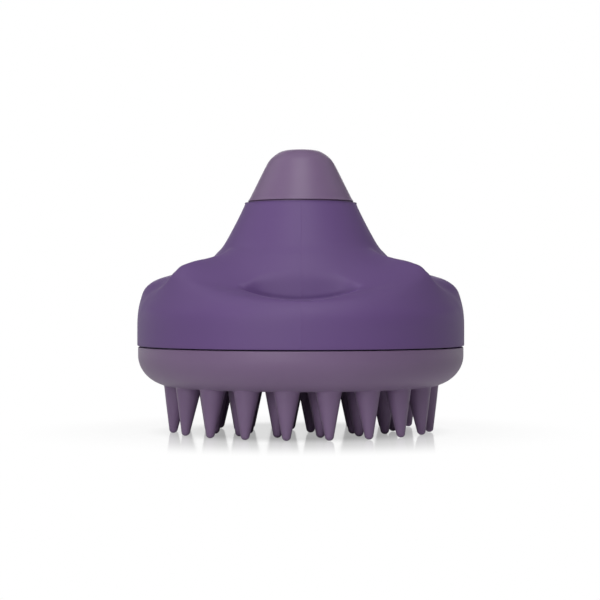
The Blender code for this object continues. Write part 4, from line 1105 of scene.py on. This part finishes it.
def make_lights():
    for name, azimuth, elevation, distance, size, power in LIGHTS:
        turn = math.radians(azimuth)
        climb = math.radians(elevation)
        level = math.cos(climb)
        towards = Vector((math.sin(turn) * level, -math.cos(turn) * level, math.sin(climb)))
        data = bpy.data.lights.new(name, "AREA")
        data.energy = power
        data.shape = "SQUARE"
        data.size = size
        lamp = bpy.data.objects.new(name, data)
        lamp.location = Vector(LIGHTS_MIDDLE) + distance * towards
        lamp.rotation_euler = (-towards).to_track_quat("-Z", "Y").to_euler()
        bpy.context.scene.collection.objects.link(lamp)


def make_camera():
    data = bpy.data.cameras.new("camera")
    data.lens = CAMERA_LENS
    data.sensor_width = CAMERA_SENSOR
    camera = bpy.data.objects.new("camera", data)
    camera.location = CAMERA_PLACE
    aim = Vector(CAMERA_TARGET) - Vector(CAMERA_PLACE)
    camera.rotation_euler = aim.to_track_quat("-Z", "Y").to_euler()
    bpy.context.scene.collection.objects.link(camera)
    bpy.context.scene.camera = camera


def build():
    bpy.context.scene.view_settings.view_transform = "Standard"
    dark = make_moulded_plastic("dark_plastic", (0.030, 0.028, 0.034))
    materials = {
        "purple_soft_touch": make_purple_plastic(),
        "mauve_silicone": make_mauve_silicone(),
        "dark_plastic": dark,
        "grey_plastic": make_moulded_plastic("grey_plastic", (0.30, 0.30, 0.32)),
        "black_rubber": make_moulded_plastic("black_rubber", (0.018, 0.018, 0.020), 0.6),
        "steel": make_metal("steel", (0.60, 0.60, 0.62), 0.28, (1.0, 1.0, 6.0)),
        "nickel": make_metal("nickel", (0.72, 0.70, 0.66), 0.20, (1.0, 5.0, 1.0)),
        "brass": make_metal("brass", (0.78, 0.60, 0.28), 0.30, (6.0, 1.0, 1.0)),
        "ferrite": make_moulded_plastic("ferrite", (0.05, 0.05, 0.055), 0.65),
        "board_green": make_board(),
        "battery_1": make_battery_wrap("battery_wrap_1", 1),
        "battery_2": make_battery_wrap("battery_wrap_2", -1),
        "wire_red": make_wire("wire_red_cover", (0.55, 0.03, 0.03)),
        "wire_black": make_wire("wire_black_cover", (0.02, 0.02, 0.02)),
        "wire_blue": make_wire("wire_blue_cover", (0.04, 0.10, 0.45)),
    }
    make_body_shell(materials["purple_soft_touch"])
    make_thread_ridges(materials["purple_soft_touch"])
    make_screw_bosses(materials["purple_soft_touch"])
    make_bristle_pad(materials["mauve_silicone"])
    make_base_plate(dark)
    make_collar_lugs(dark)
    make_seal_ring(materials["black_rubber"])
    make_button_cap(materials["mauve_silicone"])
    make_return_spring(materials["steel"])
    dress_cad_nodes(materials)
    make_floor()
    make_world()
    make_lights()
    make_camera()


build()
